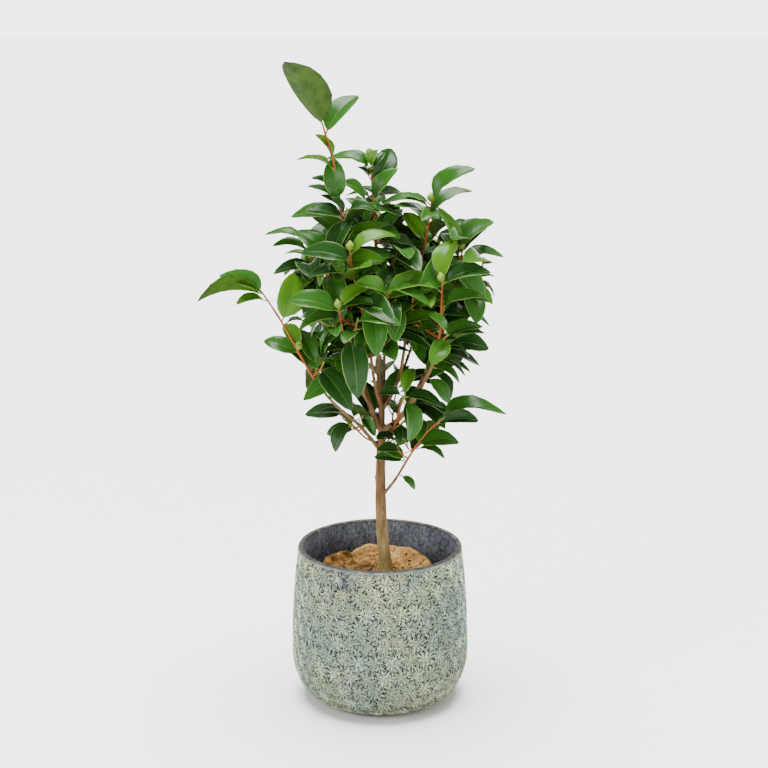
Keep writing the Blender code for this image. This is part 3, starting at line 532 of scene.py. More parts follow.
class Leaf:
    """A blade from its root on a twig's axis: direction, upper side, length and bow."""

    def __init__(self, root, forward, upper, length, bow, fold):
        self.root = root
        self.forward = forward
        self.upper = (upper - forward * upper.dot(forward)).normalized()
        self.side = self.forward.cross(self.upper)
        self.length = length
        self.bow = bow
        self.fold = math.radians(fold)
        self.width = LEAF_WIDTH

    def middle(self, share):
        """The midrib a share of the way along, bowed down from its first direction."""
        drop = self.bow * share * share
        return self.root + (self.forward * share - self.upper * drop) * self.length

    def solid(self, grow=0.0, start=0.0):
        """The closed blade: a lozenge root, two sections and a point."""
        thick = max(self.length * LEAF_THICKNESS, LEAF_LEAST_THICKNESS) / 2 + grow
        places = []
        root_width = 2 * LEAF_ROOT / (self.length * self.width)
        for share, wide in ((start, root_width + start), *LEAF_STATIONS):
            centre = self.middle(share)
            half = self.length * self.width / 2 * wide + grow
            lift = self.upper * (half * math.sin(self.fold) * (share > 0))
            reach = self.side * half * math.cos(self.fold)
            places += [centre + reach + lift, centre + self.upper * thick]
            places += [centre - reach + lift, centre - self.upper * thick]
        places.append(self.middle(1 + grow / self.length))
        faces = [(3, 2, 1, 0)]
        for ring in (0, 4):
            for i in range(4):
                j = (i + 1) % 4
                faces += [(ring + i, ring + j, ring + 4 + j), (ring + i, ring + 4 + j, ring + 4 + i)]
        faces += [(8 + i, 8 + (i + 1) % 4, 12) for i in range(4)]
        return Solid(places, faces)

    def settle(self, shoot):
        """The leaf on its shoot, with the solids that later growth keeps clear of."""
        self.shoot = shoot
        self.whole = self.solid()
        self.blade = self.solid(start=BLADE_START)
        return self

    def inside(self):
        """Whether the tip stays within the crown and the blade out of the open fork."""
        for share in (0.5, 1):
            away = self.middle(share) - OPEN_MIDDLE
            if sum((away[axis] / OPEN_REACH[axis]) ** 2 for axis in range(3)) < 1:
                return False
        return within_crown(self.middle(1), 0)


def within_crown(tip, rim):
    """Whether a tip keeps a rim inside the crown's reach at its height."""
    level = tip - CROWN_AXIS
    reach = 0.0
    for (low, narrow), (high, wide) in zip(CROWN_OUTLINE, CROWN_OUTLINE[1:]):
        if low <= tip.z <= high:
            reach = narrow + (wide - narrow) * (tip.z - low) / (high - low)
            break
    return math.hypot(level.x, level.y) < reach - rim


class Crown:
    """What has grown so far: each mass's shoots, leaves and buds."""

    def __init__(self):
        names = ["trunk"] + [f"bough_{name}" for name in BOUGHS]
        self.limbs = [mesh_solid(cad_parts[name].data) for name in names]
        self.shoots = {name: [] for name in MASSES}
        self.twigs = {name: [] for name in MASSES}
        self.leaves = {name: [] for name in MASSES}
        self.buds = {name: [] for name in MASSES}

    def is_clear(self, name, grown, blade=None, own_twig=None):
        """Whether a shape keeps clear of the limbs, the other masses and its own mass's blades."""
        if any(grown.touches(limb) for limb in self.limbs):
            return False
        for other in MASSES:
            if other != name:
                rows = [leaf.whole for leaf in self.leaves[other]] + self.buds[other] + self.twigs[other]
                if any(grown.touches(solid) for solid in rows):
                    return False
        if blade is None:
            return True
        rows = [leaf.blade for leaf in self.leaves[name]] + self.buds[name]
        rows += [twig for k, twig in enumerate(self.twigs[name]) if k != own_twig]
        return not any(blade.touches(solid) for solid in rows)

    def add_twig(self, name, limb, test=True):
        if test and not self.is_clear(name, limb.solid(CLEARANCE)):
            return False
        self.twigs[name].append(limb.solid())
        self.shoots[name].append(limb)
        return True

    def add_leaf(self, name, twig, leaf, free=False):
        if not free and not leaf.inside():
            return False
        leaf.settle(twig)
        if not self.is_clear(name, leaf.solid(CLEARANCE), leaf.blade, twig):
            return False
        self.leaves[name].append(leaf)
        return True


def leaf_on(limb, share, forward, length, bow, draw, light, roll=0):
    """A blade on a limb, its upper side turned to the light and then rolled, with some scatter."""
    place, axis, _ = limb.at(share)
    upper = rolled(light + axis * AXIS_LEAN, roll + draw.uniform(-20, 20), forward)
    leaf = Leaf(place, forward, upper, length, bow, draw.uniform(10, 26))
    leaf.share = share
    return leaf


def light_at(limb):
    """The light that a shoot's leaves turn to, more of it from the side that the shoot is on."""
    tip = limb.path[-1]
    out = Vector((tip.x, tip.y, 0)) - CROWN_AXIS
    return LIGHT + out.normalized() * LIGHT_OUT


def opened(axis, across, angle, droop):
    """A direction at an angle in degrees from a shoot's axis, drooping a little."""
    turn = math.radians(angle)
    return (axis * math.cos(turn) + across * math.sin(turn) - UP * droop).normalized()


def across_at(axis, turn):
    """A direction square to an axis, turned about it."""
    return rolled(axis.orthogonal().normalized(), turn, axis)


def grow_stem(crown, limbs, name):
    """A mass's stem, from its limb to its tip."""
    carrier, share, tip, tip_rise, radius, *_ = MASSES[name]
    place, axis, carrier_radius = limbs[carrier].at(share)
    tip = Vector(tip)
    if share == 1:
        foot_way = axis
        foot = place + axis * (GAP + 0.0001)
    else:
        foot_way = Vector((tip.x - place.x, tip.y - place.y, 0)).normalized()
        foot = place + foot_way * (carrier_radius + GAP + 0.0003)
    away = tip - foot
    azimuth = math.degrees(math.atan2(away.y, away.x))
    path = curved_path(foot, foot_way, tip, way(azimuth, tip_rise), TWIG_STEPS + 3)
    crown.add_twig(name, Limb(path, radius, TWIG_TIP_RADIUS), test=False)


def grow_twigs(crown, name, draw):
    """Side twigs up the stem, turned by the golden angle, each curving up to its tip."""
    *_, count, reach, _ = MASSES[name]
    stem = crown.shoots[name][0]
    azimuth = draw.uniform(0, 360)
    for i in range(count):
        azimuth += GOLDEN_ANGLE
        for attempt in range(TRIES):
            share = TWIGS_FROM + TWIGS_SPAN * (i + draw.uniform(0.2, 0.8)) / count
            place, _, radius = stem.at(share)
            turn = azimuth + attempt * TWIG_RETRY_TURN
            length = reach * draw.uniform(0.75, 1.1) * 0.93**attempt
            tip = place + way(turn, draw.uniform(28, 48)) * length
            path = curved_path(place, way(turn, 30), tip, way(turn, 66), TWIG_STEPS, stub=0)
            limb = Limb(path, min(radius * 0.85, TWIG_RADIUS), TWIG_TIP_RADIUS)
            if within_crown(tip, TWIG_RIM) and crown.add_twig(name, limb):
                break


def grow_finer(crown, name, draw):
    """Short side shoots with smaller leaves, carried on from the mass's own shoots."""
    for number, limb in enumerate(list(crown.shoots[name])):
        azimuth = draw.uniform(0, 360)
        for i in range(FINE_SHOOTS if number else FINE_SHOOTS + 1):
            azimuth += GOLDEN_ANGLE
            for attempt in range(FINE_TRIES):
                share = 0.22 + 0.68 * (i + draw.uniform(0.1, 0.9)) / (FINE_SHOOTS + 1)
                place, _, radius = limb.at(share)
                turn = azimuth + attempt * TWIG_RETRY_TURN
                tip = place + way(turn, draw.uniform(20, 52)) * draw.uniform(*FINE_REACH)
                path = curved_path(place, way(turn, 30), tip, way(turn, 60), 2, stub=0)
                fine = Limb(path, min(radius * 0.7, FINE_RADIUS), STALK_RADIUS)
                if within_crown(tip, FINE_RIM) and crown.add_twig(name, fine):
                    break


def place_leaves(crown, name, rows, draw, last=SHOOT_END, step=0.006, shrink=1.0):
    """Leaves of the outline, each placed on the stem by its row."""
    stem = crown.shoots[name][0]
    for share, azimuth, rise, length, bow, *roll in rows:
        for attempt in range(TRIES):
            turn = azimuth + draw.uniform(-5, 5) * attempt
            forward = way(turn, rise + draw.uniform(-4, 4) * attempt)
            place = min(share, last) - step * attempt
            size = length * shrink**attempt
            leaf = leaf_on(stem, place, forward, size, bow, draw, FRONT_LIGHT, sum(roll))
            if crown.add_leaf(name, 0, leaf, free=True):
                break


def grow_leaves(crown, name, draw):
    """Leaves spiralling down each shoot from its tip, steep at the tip and level lower down."""
    for number, limb in enumerate(crown.shoots[name]):
        count = MASSES[name][7] if number == 0 else TWIG_LEAVES
        azimuth = draw.uniform(0, 360)
        top = SHOOT_END
        if number == 0 and name in TIP_LEAVES:
            top = min(row[0] for row in TIP_LEAVES[name]) - 0.05
        span = min(LEAF_SPACING / limb.length, top * 0.9 / max(1, count))
        for i in range(count):
            azimuth += GOLDEN_ANGLE
            share = max(0.02, top - (i + draw.uniform(0, 0.15)) * span)
            _, axis, _ = limb.at(share)
            across = axis.orthogonal().normalized()
            for attempt in range(TRIES):
                rolled(across, azimuth + attempt * LEAF_RETRY_TURN, axis)
                angle = min(88, FIRST_ANGLE + NEXT_ANGLE * i) + draw.uniform(-8, 8)
                forward = opened(axis, across, angle, draw.uniform(0.0, 0.15))
                length = draw.uniform(*LEAF_LENGTH) * (TOP_LEAF_SIZE if i == 0 else 1)
                bow = draw.uniform(*LEAF_BOW)
                leaf = leaf_on(limb, share, forward, length, bow, draw, light_at(limb))
                if crown.add_leaf(name, number, leaf):
                    break


def grow_behind(crown, name, draw):
    """Leaves low on the stems that stand behind the fork."""
    stem = crown.shoots[name][0]
    azimuth = draw.uniform(0, 360)
    for _ in range(BEHIND_LEAVES):
        azimuth += GOLDEN_ANGLE
        for attempt in range(TRIES):
            share = draw.uniform(0.02, BEHIND_TOP)
            _, axis, _ = stem.at(share)
            across = across_at(axis, azimuth + attempt * LEAF_RETRY_TURN)
            forward = (axis * draw.uniform(-0.3, 0.5) + across).normalized()
            length = draw.uniform(*LEAF_LENGTH) * 0.95**attempt
            leaf = leaf_on(stem, share, forward, length, draw.uniform(*LEAF_BOW), draw, light_at(stem))
            if crown.add_leaf(name, 0, leaf):
                break


def grow_more_leaves(crown, name, draw):
    """Leaves in the spaces that are left on every shoot, and on the finer ones."""
    for number, limb in enumerate(crown.shoots[name]):
        fine = number > MASSES[name][5]
        azimuth = draw.uniform(0, 360)
        for i in range(FINE_LEAVES if fine else MORE_LEAVES):
            azimuth += GOLDEN_ANGLE
            for attempt in range(TRIES):
                share = max(0.05, (SHOOT_END - 0.3 * i) if fine else draw.uniform(0.12, 0.97))
                _, axis, _ = limb.at(share)
                across = across_at(axis, azimuth + attempt * LEAF_RETRY_TURN)
                forward = opened(axis, across, draw.uniform(30, 80), draw.uniform(0.0, 0.3))
                length = draw.uniform(*FINE_LENGTH) * 0.95**attempt
                bow = draw.uniform(*LEAF_BOW)
                leaf = leaf_on(limb, share, forward, length, bow, draw, light_at(limb))
                if crown.add_leaf(name, number, leaf):
                    break


def turn_leaves(crown, draw):
    """Some placed leaves turned further to the front on their stems."""
    for (name, index), (azimuth, rise, length, bow, roll) in TURNED_LEAVES.items():
        old = crown.leaves[name][index]
        stem = crown.shoots[name][0]
        leaf = leaf_on(stem, old.share, way(azimuth, rise), length, bow, draw, FRONT_LIGHT, roll)
        crown.leaves[name][index] = leaf.settle(old.shoot)


def grow_buds(crown):
    """The flower buds as plain pointed solids, which later growth keeps clear of."""
    shape = bmesh.new()
    bmesh.ops.create_uvsphere(shape, u_segments=6, v_segments=4, radius=1)
    corners = [vertex.co.copy() for vertex in shape.verts]
    faces = [tuple(vertex.index for vertex in face.verts) for face in shape.faces]
    shape.free()
    for name, share, azimuth, rise in BUDS:
        root = crown.shoots[name][0].at(min(share, SHOOT_END))[0]
        forward = way(azimuth, rise)
        side = forward.orthogonal().normalized()
        turned = Matrix((side, forward.cross(side), forward)).transposed().to_4x4()
        stretch = Matrix.Diagonal((BUD_RADIUS, BUD_RADIUS, BUD_LENGTH / 2, 1))
        seat = Matrix.Translation(root + forward * BUD_LENGTH * 0.48) @ turned @ stretch
        crown.buds[name].append(Solid([seat @ corner for corner in corners], faces))


def grow_crown(limbs):
    """The whole crown by the solids' rule, then its finer shoots and leaves."""
    crown = Crown()
    draws = {name: random.Random(SEED + number) for number, name in enumerate(MASSES)}
    for name in MASSES:
        grow_stem(crown, limbs, name)
    for name in MASSES:
        grow_twigs(crown, name, draws[name])
    grow_buds(crown)
    for name in MASSES:
        place_leaves(crown, name, TIP_LEAVES.get(name, ()), draws[name])
    for name in MASSES:
        grow_leaves(crown, name, draws[name])
    turn_leaves(crown, random.Random(SEED + 20))
    draw = random.Random(SEED + 21)
    for name, rows in OUTLINE_LEAVES.items():
        place_leaves(crown, name, rows, draw, last=1.0, step=0.012, shrink=0.98)
    for name in MASSES:
        grow_finer(crown, name, draws[name])
    for name in BEHIND_FORK:
        grow_behind(crown, name, draws[name])
    for name in MASSES:
        grow_more_leaves(crown, name, draws[name])
    return crown


class Heap:
    """Faces gathered for one piece, each with its finish and its place on the UV map."""

    def __init__(self):
        self.places = []
        self.faces = []
        self.kinds = []
        self.spots = []

    def add(self, places, faces, kinds=0, spots=None):
        base = len(self.places)
        self.places += [tuple(place) for place in places]
        self.faces += [tuple(base + corner for corner in face) for face in faces]
        self.kinds += kinds if isinstance(kinds, list) else [kinds] * len(faces)
        self.spots += spots or [(0.0, 0.0)] * len(places)

    def piece(self, name, finishes=(), sharp=None):
        mesh = bpy.data.meshes.new(name)
        mesh.from_pydata(self.places, [], self.faces)
        for finish in finishes:
            mesh.materials.append(finish.material)
        mesh.polygons.foreach_set("material_index", self.kinds)
        chart = mesh.uv_layers.new(name="Surface")
        corners = np.empty(len(mesh.loops), dtype=np.int32)
        mesh.loops.foreach_get("vertex_index", corners)
        chart.data.foreach_set("uv", np.array(self.spots, dtype=np.float32)[corners].ravel())
        mesh.shade_smooth()
        if sharp:
            mesh.set_sharp_from_angle(angle=math.radians(sharp))
        return put(name, mesh)


def rounded(limb, parts):
    """A limb's path and radii, refined and rounded between its points."""
    path = []
    radii = []
    last = len(limb.path) - 1
    for i in range(last):
        before = limb.path[max(i - 1, 0)]
        here, there = limb.path[i], limb.path[i + 1]
        after = limb.path[min(i + 2, last)]
        for k in range(parts):
            t = k / parts
            path.append(
                0.5 * (
                    2 * here + (there - before) * t
                    + (2 * before - 5 * here + 4 * there - after) * t * t
                    + (3 * here - before - 3 * there + after) * t**3
                )
            )
            radii.append(limb.radii[i] + (limb.radii[i + 1] - limb.radii[i]) * t)
    return path + [limb.path[-1]], radii + [limb.radii[-1]]


def tube(path, radii, sides, point=False):
    """A round tube along a path, closed at both ends, its far end drawn to a point if asked."""
    places = []
    faces = []
    last = len(path) - 1
    side = (path[1] - path[0]).orthogonal().normalized()
    for i, (place, radius) in enumerate(zip(path, radii)):
        ahead = (path[min(i + 1, last)] - path[max(i - 1, 0)]).normalized()
        side = (side - ahead * side.dot(ahead)).normalized()
        across = ahead.cross(side)
        for k in range(sides):
            turn = math.tau * k / sides
            places.append(place + (side * math.cos(turn) + across * math.sin(turn)) * radius)
    for i in range(last):
        for k in range(sides):
            j = (k + 1) % sides
            faces.append((i * sides + k, i * sides + j, (i + 1) * sides + j, (i + 1) * sides + k))
    faces.append(tuple(reversed(range(sides))))
    ring = last * sides
    if point:
        places.append(path[-1] + (path[-1] - path[-2]).normalized() * radii[-1] * 2)
        faces += [(ring + k, ring + (k + 1) % sides, len(places) - 1) for k in range(sides)]
    else:
        faces.append(tuple(ring + k for k in range(sides)))
    return places, faces


def make_bark(limbs):
    """Trunk and boughs flowed together at the forks, with the bark's furrows, scars and collars."""
    rough = Heap()
    for name, limb in limbs.items():
        path, radii = rounded(limb, 3)
        length = 0.0
        for i in range(len(path)):
            if i:
                length += (path[i] - path[i - 1]).length
            if name != "trunk":
                radii[i] += COLLAR * math.exp(-length / COLLAR_REACH)
        rough.add(*tube(path, radii, 20))
    item = rough.piece("bark_rough")
    melt = item.modifiers.new("Flow together", "REMESH")
    melt.mode = "VOXEL"
    melt.voxel_size = BARK_GRAIN
    ease = item.modifiers.new("Ease", "SMOOTH")
    ease.factor = 0.5
    ease.iterations = 5
    mesh = evaluated_mesh(item)
    bpy.data.objects.remove(item)
    mesh.materials.clear()
    places = mesh_values(mesh.vertices, "co")
    normals = mesh_values(mesh.vertex_normals, "vector")
    push = np.empty(len(places))
    for i, (x, y, z) in enumerate(places):
        furrow = noise.noise(Vector((x * 420, y * 420, z * 46)))
        lump = noise.noise(Vector((x * 95, y * 95, z * 60)))
        grit = noise.noise(Vector((x * 900, y * 900, z * 500)))
        strength = 1.0 if z < TRUNK_TIP.z else BOUGH_BARK
        push[i] = strength * (BARK_FURROW * furrow + BARK_LUMP * lump + BARK_GRIT * grit)
    for height, turn, size in TRUNK_SCARS:
        middle = TRUNK_FOOT.lerp(TRUNK_TIP, (height - TRUNK_FOOT.z) / (TRUNK_TIP.z - TRUNK_FOOT.z))
        away = np.arctan2(places[:, 1] - middle.y, places[:, 0] - middle.x) - math.radians(turn)
        away = np.abs((away + math.pi) % math.tau - math.pi) * 0.008
        scar = np.exp(-((places[:, 2] - height) / size) ** 2 - (away / (size * 1.6)) ** 2)
        ring = np.exp(-((places[:, 2] - height) / (size * 0.35)) ** 2)
        push += (places[:, 2] < TRUNK_TIP.z) * (SCAR_RISE * scar + SCAR_RING * ring)
    places += normals * push[:, None]
    places[:, 2] = np.maximum(places[:, 2], SOIL_LEVEL + GAP)
    mesh.vertices.foreach_set("co", places.ravel())
    mesh.update()
    mesh.shade_smooth()
    return put("bark", mesh)


def make_twigs(crown):
    """Every shoot as a round twig with a joint at each leaf, tan at its foot and red-brown above."""
    heap = Heap()
    for name, shoots in crown.shoots.items():
        for number, limb in enumerate(shoots):
            path, radii = rounded(limb, 4 if number else 5)
            if number == 0:
                path.insert(0, path[0] - (path[1] - path[0]).normalized() * STEM_SINK)
                radii.insert(0, radii[0])
            joints = [leaf.share for leaf in crown.leaves[name] if leaf.shoot == number]
            last = len(path) - 1
            for i in range(len(path)):
                away = min((abs(i / last - joint) for joint in joints), default=1)
                radii[i] = radii[i] * 0.92 + 0.00028 * math.exp(-(away * last) ** 2)
            sides = 6 if number else 8
            places, faces = tube(path, radii, sides, point=True)
            tan_end, red_end = (0, 0.6) if number else (OLD_WOOD, 0.86)
            if number > MASSES[name][5]:
                red_end = 0
            kinds = []
            for k in range(len(faces)):
                share = min(1, k / (sides * last))
                kinds.append(0 if share < tan_end else 1 if share < red_end else 2)
            heap.add(places, faces, kinds)
    return heap


def leaf_faces(leaf, draw):
    """A leaf with its stalk, raised halves, pale midrib, its margin pale as a painted highlight, and its
    underside.
    """
    stalk = LEAF_STALK / leaf.length
    sway = draw.uniform(-0.06, 0.06)
    wave = draw.uniform(0.0, 0.09)
    phase = draw.uniform(0, math.tau)
    curl = draw.uniform(0.05, 0.20)
    folded = draw.uniform(1.1, 2.4)
    half_full = leaf.length * leaf.width * LEAF_FULLNESS / 2
    rows = [(0.0, 0.0)]
    rows += [(stalk + (1 - stalk) * share, wide) for share, wide in LEAF_ALONG]
    places = []
    spots = []
    for share, wide in rows:
        blade = max(0.0, (share - stalk) / (1 - stalk))
        arch = LEAF_ARCH * math.sin(math.pi * share) - curl * blade**4
        centre = leaf.middle(share) + leaf.upper * (arch * leaf.length)
        centre += leaf.side * (sway * math.sin(math.pi * share) * leaf.length)
        half = max(half_full * wide, STALK_RADIUS)
        thick = STALK_RADIUS if wide < 0.1 else LEAF_SKIN
        fold = leaf.fold * folded * min(1.0, wide * 2) * (1 - 0.45 * blade)
        for level, columns in ((1, LEAF_ACROSS), (-1, (-0.06, 0.06))):
            for u in columns:
                out = abs(u)
                rise = half * out * math.sin(fold) + half * LEAF_CAMBER * out * (1 - out) * (wide > 0.1)
                rise += half * wave * out * out * math.sin(phase + blade * 13 + (u > 0))
                skin = 0.0 if out > 0.99 else thick * level
                reach = leaf.side * (half * u * math.cos(fold))
                places.append(centre + reach + leaf.upper * (rise + skin))
                spots.append((0.5 + u / 2, share))
    places.append(leaf.middle(1.0) - leaf.upper * (curl * leaf.length))
    spots.append((0.5, 1.0))
    faces = [(8, 9, 7, 6, 5, 4, 3, 2, 1, 0)]
    kinds = [0]
    under = (0, 8, 9, 7)
    # Kind 4 is the margin, a pale strip of painted highlight.
    top_kinds = (4, 2, 2, 1, 2, 2, 4)
    for here in range(0, len(rows) * 10 - 10, 10):
        for k in range(7):
            faces.append((here + k, here + k + 1, here + k + 11, here + k + 10))
            kinds.append(top_kinds[k] if here else 0)
        for left, right in zip(under, under[1:]):
            faces.append((here + right, here + left, here + left + 10, here + right + 10))
            kinds.append(3 if here else 0)
    end = len(places) - 1
    faces += [(end - 10 + k, end - 9 + k, end) for k in range(7)]
    faces += [(end - 10 + right, end - 10 + left, end) for left, right in zip(under, under[1:])]
    return places, faces, kinds + [*top_kinds, 3, 3, 3], spots


def leaf_tone(name, leaf, index, draw):
    """Which green a leaf has: young at the tips of some sprays and on some leaves in painted light, darker
    towards the top as painted shade on backlit leaves, deeper towards the bottom.
    """
    chance = draw.random() + (0.12 if leaf.shoot else 0.0)
    # The youngest green, which on some leaves is a painted highlight; the deepest green as painted shade.
    if (name, index) in YOUNG_AND_LIT_LEAVES:
        return 3
    if (name, index) in SHADED_LEAVES:
        return 0
    # Painted shade: leaves darker towards the top of the crown, where they are backlit; deeper in colour
    # towards the bottom.
    away = leaf.middle(0.5).z - CROWN_MIDDLE
    chance -= PAINTED_TOP_SHADE * away if away > 0 else -LOW_DEEPER * away
    return 0 if chance < 0.36 else 1 if chance < 0.78 else 2


def make_leaves(crown):
    """All leaves. Finishes: stalk, rib and margin with its painted highlight, then upper and under sides of
    the four greens.
    """
    heap = Heap()
    draw = random.Random(SEED)
    for name in MASSES:
        sprays = {}
        for index, leaf in enumerate(crown.leaves[name]):
            spray = sprays.setdefault(leaf.shoot, draw.random())
            leaf.width *= BROADER_LEAVES.get((name, index), 1.0)
            tone = leaf_tone(name, leaf, index, draw)
            if tone == 0 and spray > 0.72:
                tone = 1
            places, faces, kinds, spots = leaf_faces(leaf, draw)
            table = (0, 1, 3 + tone * 2, 4 + tone * 2, 2)
            heap.add(places, faces, [table[kind] for kind in kinds], spots)
    return heap


def bud_scales(root, forward, draw):
    """A plump flower bud: overlapping scales in three whorls, the outer ones shorter."""
    places = []
    faces = []
    kinds = []
    side = forward.orthogonal().normalized()
    across = forward.cross(side)
    for number in range(9):
        whorl, k = divmod(number, 3)
        turn = math.tau * k / 3 + whorl * 1.1 + draw.uniform(-0.1, 0.1)
        end = 1.0 - 0.20 * (2 - whorl)
        swell = 0.92 + 0.05 * (2 - whorl)
        base = len(places)
        for i in range(BUD_ROWS + 1):
            share = 0.02 + (end - 0.02) * i / BUD_ROWS
            narrow = math.cos(math.pi / 2 * (i / BUD_ROWS) ** 2.2)
            radius = BUD_RADIUS * math.sin(math.pi * min(0.985, share**0.86)) ** 0.8 * swell
            for column in range(BUD_COLUMNS + 1):
                angle = turn + 1.35 * narrow * (2 * column / BUD_COLUMNS - 1)
                out = side * math.cos(angle) + across * math.sin(angle)
                places.append(root + forward * (BUD_LENGTH * share) + out * max(radius, BUD_LEAST_RADIUS))
        for i in range(BUD_ROWS):
            for column in range(BUD_COLUMNS):
                corner = base + i * (BUD_COLUMNS + 1) + column
                above = corner + BUD_COLUMNS + 1
                faces.append((corner, corner + 1, above + 1, above))
                kinds.append(whorl)
    return places, faces, kinds


def make_buds(crown):
    """The flower buds, and a slim pointed leaf bud at each shoot's tip."""
    heap = Heap()
    draw = random.Random(SEED + 5)
    for name, share, azimuth, rise in BUDS:
        place = crown.shoots[name][0].at(min(share, SHOOT_END))[0]
        heap.add(*bud_scales(place, way(azimuth, rise), draw))
    for shoots in crown.shoots.values():
        for limb in shoots:
            place, axis, _ = limb.at(0.999)
            length = draw.uniform(*TIP_BUD_LENGTH)
            path = [place + axis * (length * share) for share in (0, 0.2, 0.5, 0.8)]
            radii = [TIP_BUD_RADIUS * wide for wide in (0.6, 1.0, 0.85, 0.45)]
            heap.add(*tube(path, radii, 6, point=True), 3)
    return heap


class Board:
    """A node tree, with short ways to put nodes on it."""

    def __init__(self, tree):
        self.tree = tree

    def feed(self, socket, value):
        """Links a socket to another, or sets it to a plain value."""
        if isinstance(value, bpy.types.NodeSocket):
            self.tree.links.new(value, socket)
        elif isinstance(value, tuple) and len(socket.default_value) > len(value):
            socket.default_value = (*value, 1)
        else:
            socket.default_value = value

    def node(self, kind, *values, **settings):
        """A node: small names are its settings, capital names its inputs, plain values its first ones."""
        made = self.tree.nodes.new(kind)
        for key, value in settings.items():
            if key[0].islower():
                setattr(made, key, value)
        for socket, value in zip(made.inputs, values):
            self.feed(socket, value)
        for key, value in settings.items():
            if key[0].isupper():
                self.feed(made.inputs[key], value)
        return made

    def ramp(self, factor, *stops):
        """Colours or greys along a factor."""
        made = self.node("ShaderNodeValToRGB", factor)
        elements = made.color_ramp.elements
        while len(elements) < len(stops):
            elements.new(0.5)
        for element, (place, colour) in zip(elements, stops):
            element.position = place
            element.color = (*colour, 1) if isinstance(colour, tuple) else (colour, colour, colour, 1)
        return made.outputs["Color"]

    def where(self, kind="Object"):
        return self.node("ShaderNodeTexCoord").outputs[kind]

    def height(self, kind="Object"):
        return self.node("ShaderNodeSeparateXYZ", self.where(kind)).outputs["Z"]

    def grain(self, scale, detail=4.0, rough=0.55, stretch=EVEN, shift=(0, 0, 0)):
        """Noise on object coordinates, stretched or shifted."""
        moved = self.node("ShaderNodeMapping", self.where(), Scale=stretch, Location=shift)
        made = self.node("ShaderNodeTexNoise", moved.outputs[0], Scale=scale, Detail=detail, Roughness=rough)
        return made.outputs["Fac"]

    def cloud(self, grain, *stops):
        """Colours or greys along a grain."""
        return self.ramp(self.grain(*grain), *stops)

    def blend(self, factor, low, high, mode="MIX"):
        """Two colours mixed by a factor."""
        made = self.node("ShaderNodeMix", factor, data_type="RGBA", blend_type=mode)
        self.feed(made.inputs[6], low)
        self.feed(made.inputs[7], high)
        return made.outputs[2]

    def times(self, low, high):
        """One colour multiplied by the other."""
        return self.blend(1.0, low, high, "MULTIPLY")

    def over_range(self, value, low, high):
        """0 to 1 from one value to another."""
        return self.node("ShaderNodeMapRange", value, low, high).outputs["Result"]

    def by_height(self, low, high, *stops):
        """Colours or greys from one height to another."""
        return self.ramp(self.over_range(self.height(), low, high), *stops)

    def near(self, place, reach, *stops):
        """Greys that run from a reach round a place on the object to the place itself."""
        away = self.node("ShaderNodeVectorMath", self.where(), place, operation="DISTANCE")
        return self.ramp(self.over_range(away.outputs["Value"], reach, 0.0), *stops)


class Finish(Board):
    """A finish: its material and the nodes that colour it."""

    def __init__(self, name, colour, roughness, gloss=0.5):
        self.material = bpy.data.materials.new(name)
        self.material.use_nodes = True
        super().__init__(self.material.node_tree)
        self.sockets = self.tree.nodes["Principled BSDF"].inputs
        self.feed(self.sockets["Base Color"], colour)
        self.feed(self.sockets["Roughness"], roughness)
        self.feed(self.sockets["Specular IOR Level"], gloss)

    def coat(self, colour):
        """Colours the finish by its nodes."""
        self.feed(self.sockets["Base Color"], colour)

    def relief(self, height, strength, distance):
        """Fine relief from a height, or from the values of a grain."""
        if isinstance(height, tuple):
            height = self.grain(*height)
        bump = self.node("ShaderNodeBump", Height=height, Strength=strength, Distance=distance)
        self.feed(self.sockets["Normal"], bump.outputs["Normal"])


def patina(glaze, pale, teal, sand, slate):
    """The pot's cloudy glaze: pale, teal and sandy clouds, and one slate stain under the lip, with painted
    shade towards the foot and painted light towards the rim.
    """
    clouds = glaze.cloud((11.0, 5.0, 0.6), (0.36, 0.0), (0.60, 1.0))
    sandy = glaze.cloud((15.0, 5.0, 0.6, EVEN, (3, 1, 2)), (0.46, 0.0), (0.64, 1.0))
    top = glaze.by_height(0.165, 0.235, (0.0, 0.35), (1.0, 1.0))
    colour = glaze.blend(glaze.times(sandy, top), glaze.blend(clouds, teal, pale), sand)
    # Painted light and shade: the glaze darker and browner towards the foot and lighter towards the rim, as
    # the light falls from above.
    low = glaze.by_height(
        0.0, 0.24, (0.0, (0.82, 0.77, 0.70)), (0.45, EVEN), (0.68, EVEN), (0.92, (1.24, 1.20, 1.10))
    )
    fray = glaze.cloud((60.0, 4.0, 0.7, EVEN, (7, 5, 1)), (0.40, 0.0), (0.60, 1.0))
    stain = glaze.near(SLATE_STAIN, 0.047, (0.0, 0.0), (0.8, 1.0))
    return glaze.blend(glaze.times(fray, stain), glaze.times(colour, low), slate)


def pot_glazes():
    """The raised glazes of the star flowers."""
    glazes = []
    for name, strong in (("pale", 1.95), ("middle", 1.36), ("dull", 1.0)):
        glaze = Finish(f"pot_glaze_{name}", (0.40, 0.46, 0.34), 0.7)
        tones = [tuple(min(0.8, part * strong) for part in tone) for tone in GLAZE_TONES]
        wear = glaze.cloud((300.0, 4.0, 0.7), (0.35, 0.55), (0.60, 1.0))
        glaze.coat(glaze.times(patina(glaze, *tones), wear))
        glaze.relief((900.0, 3.0), 0.35, 0.0004)
        glazes.append(glaze)
    return glazes


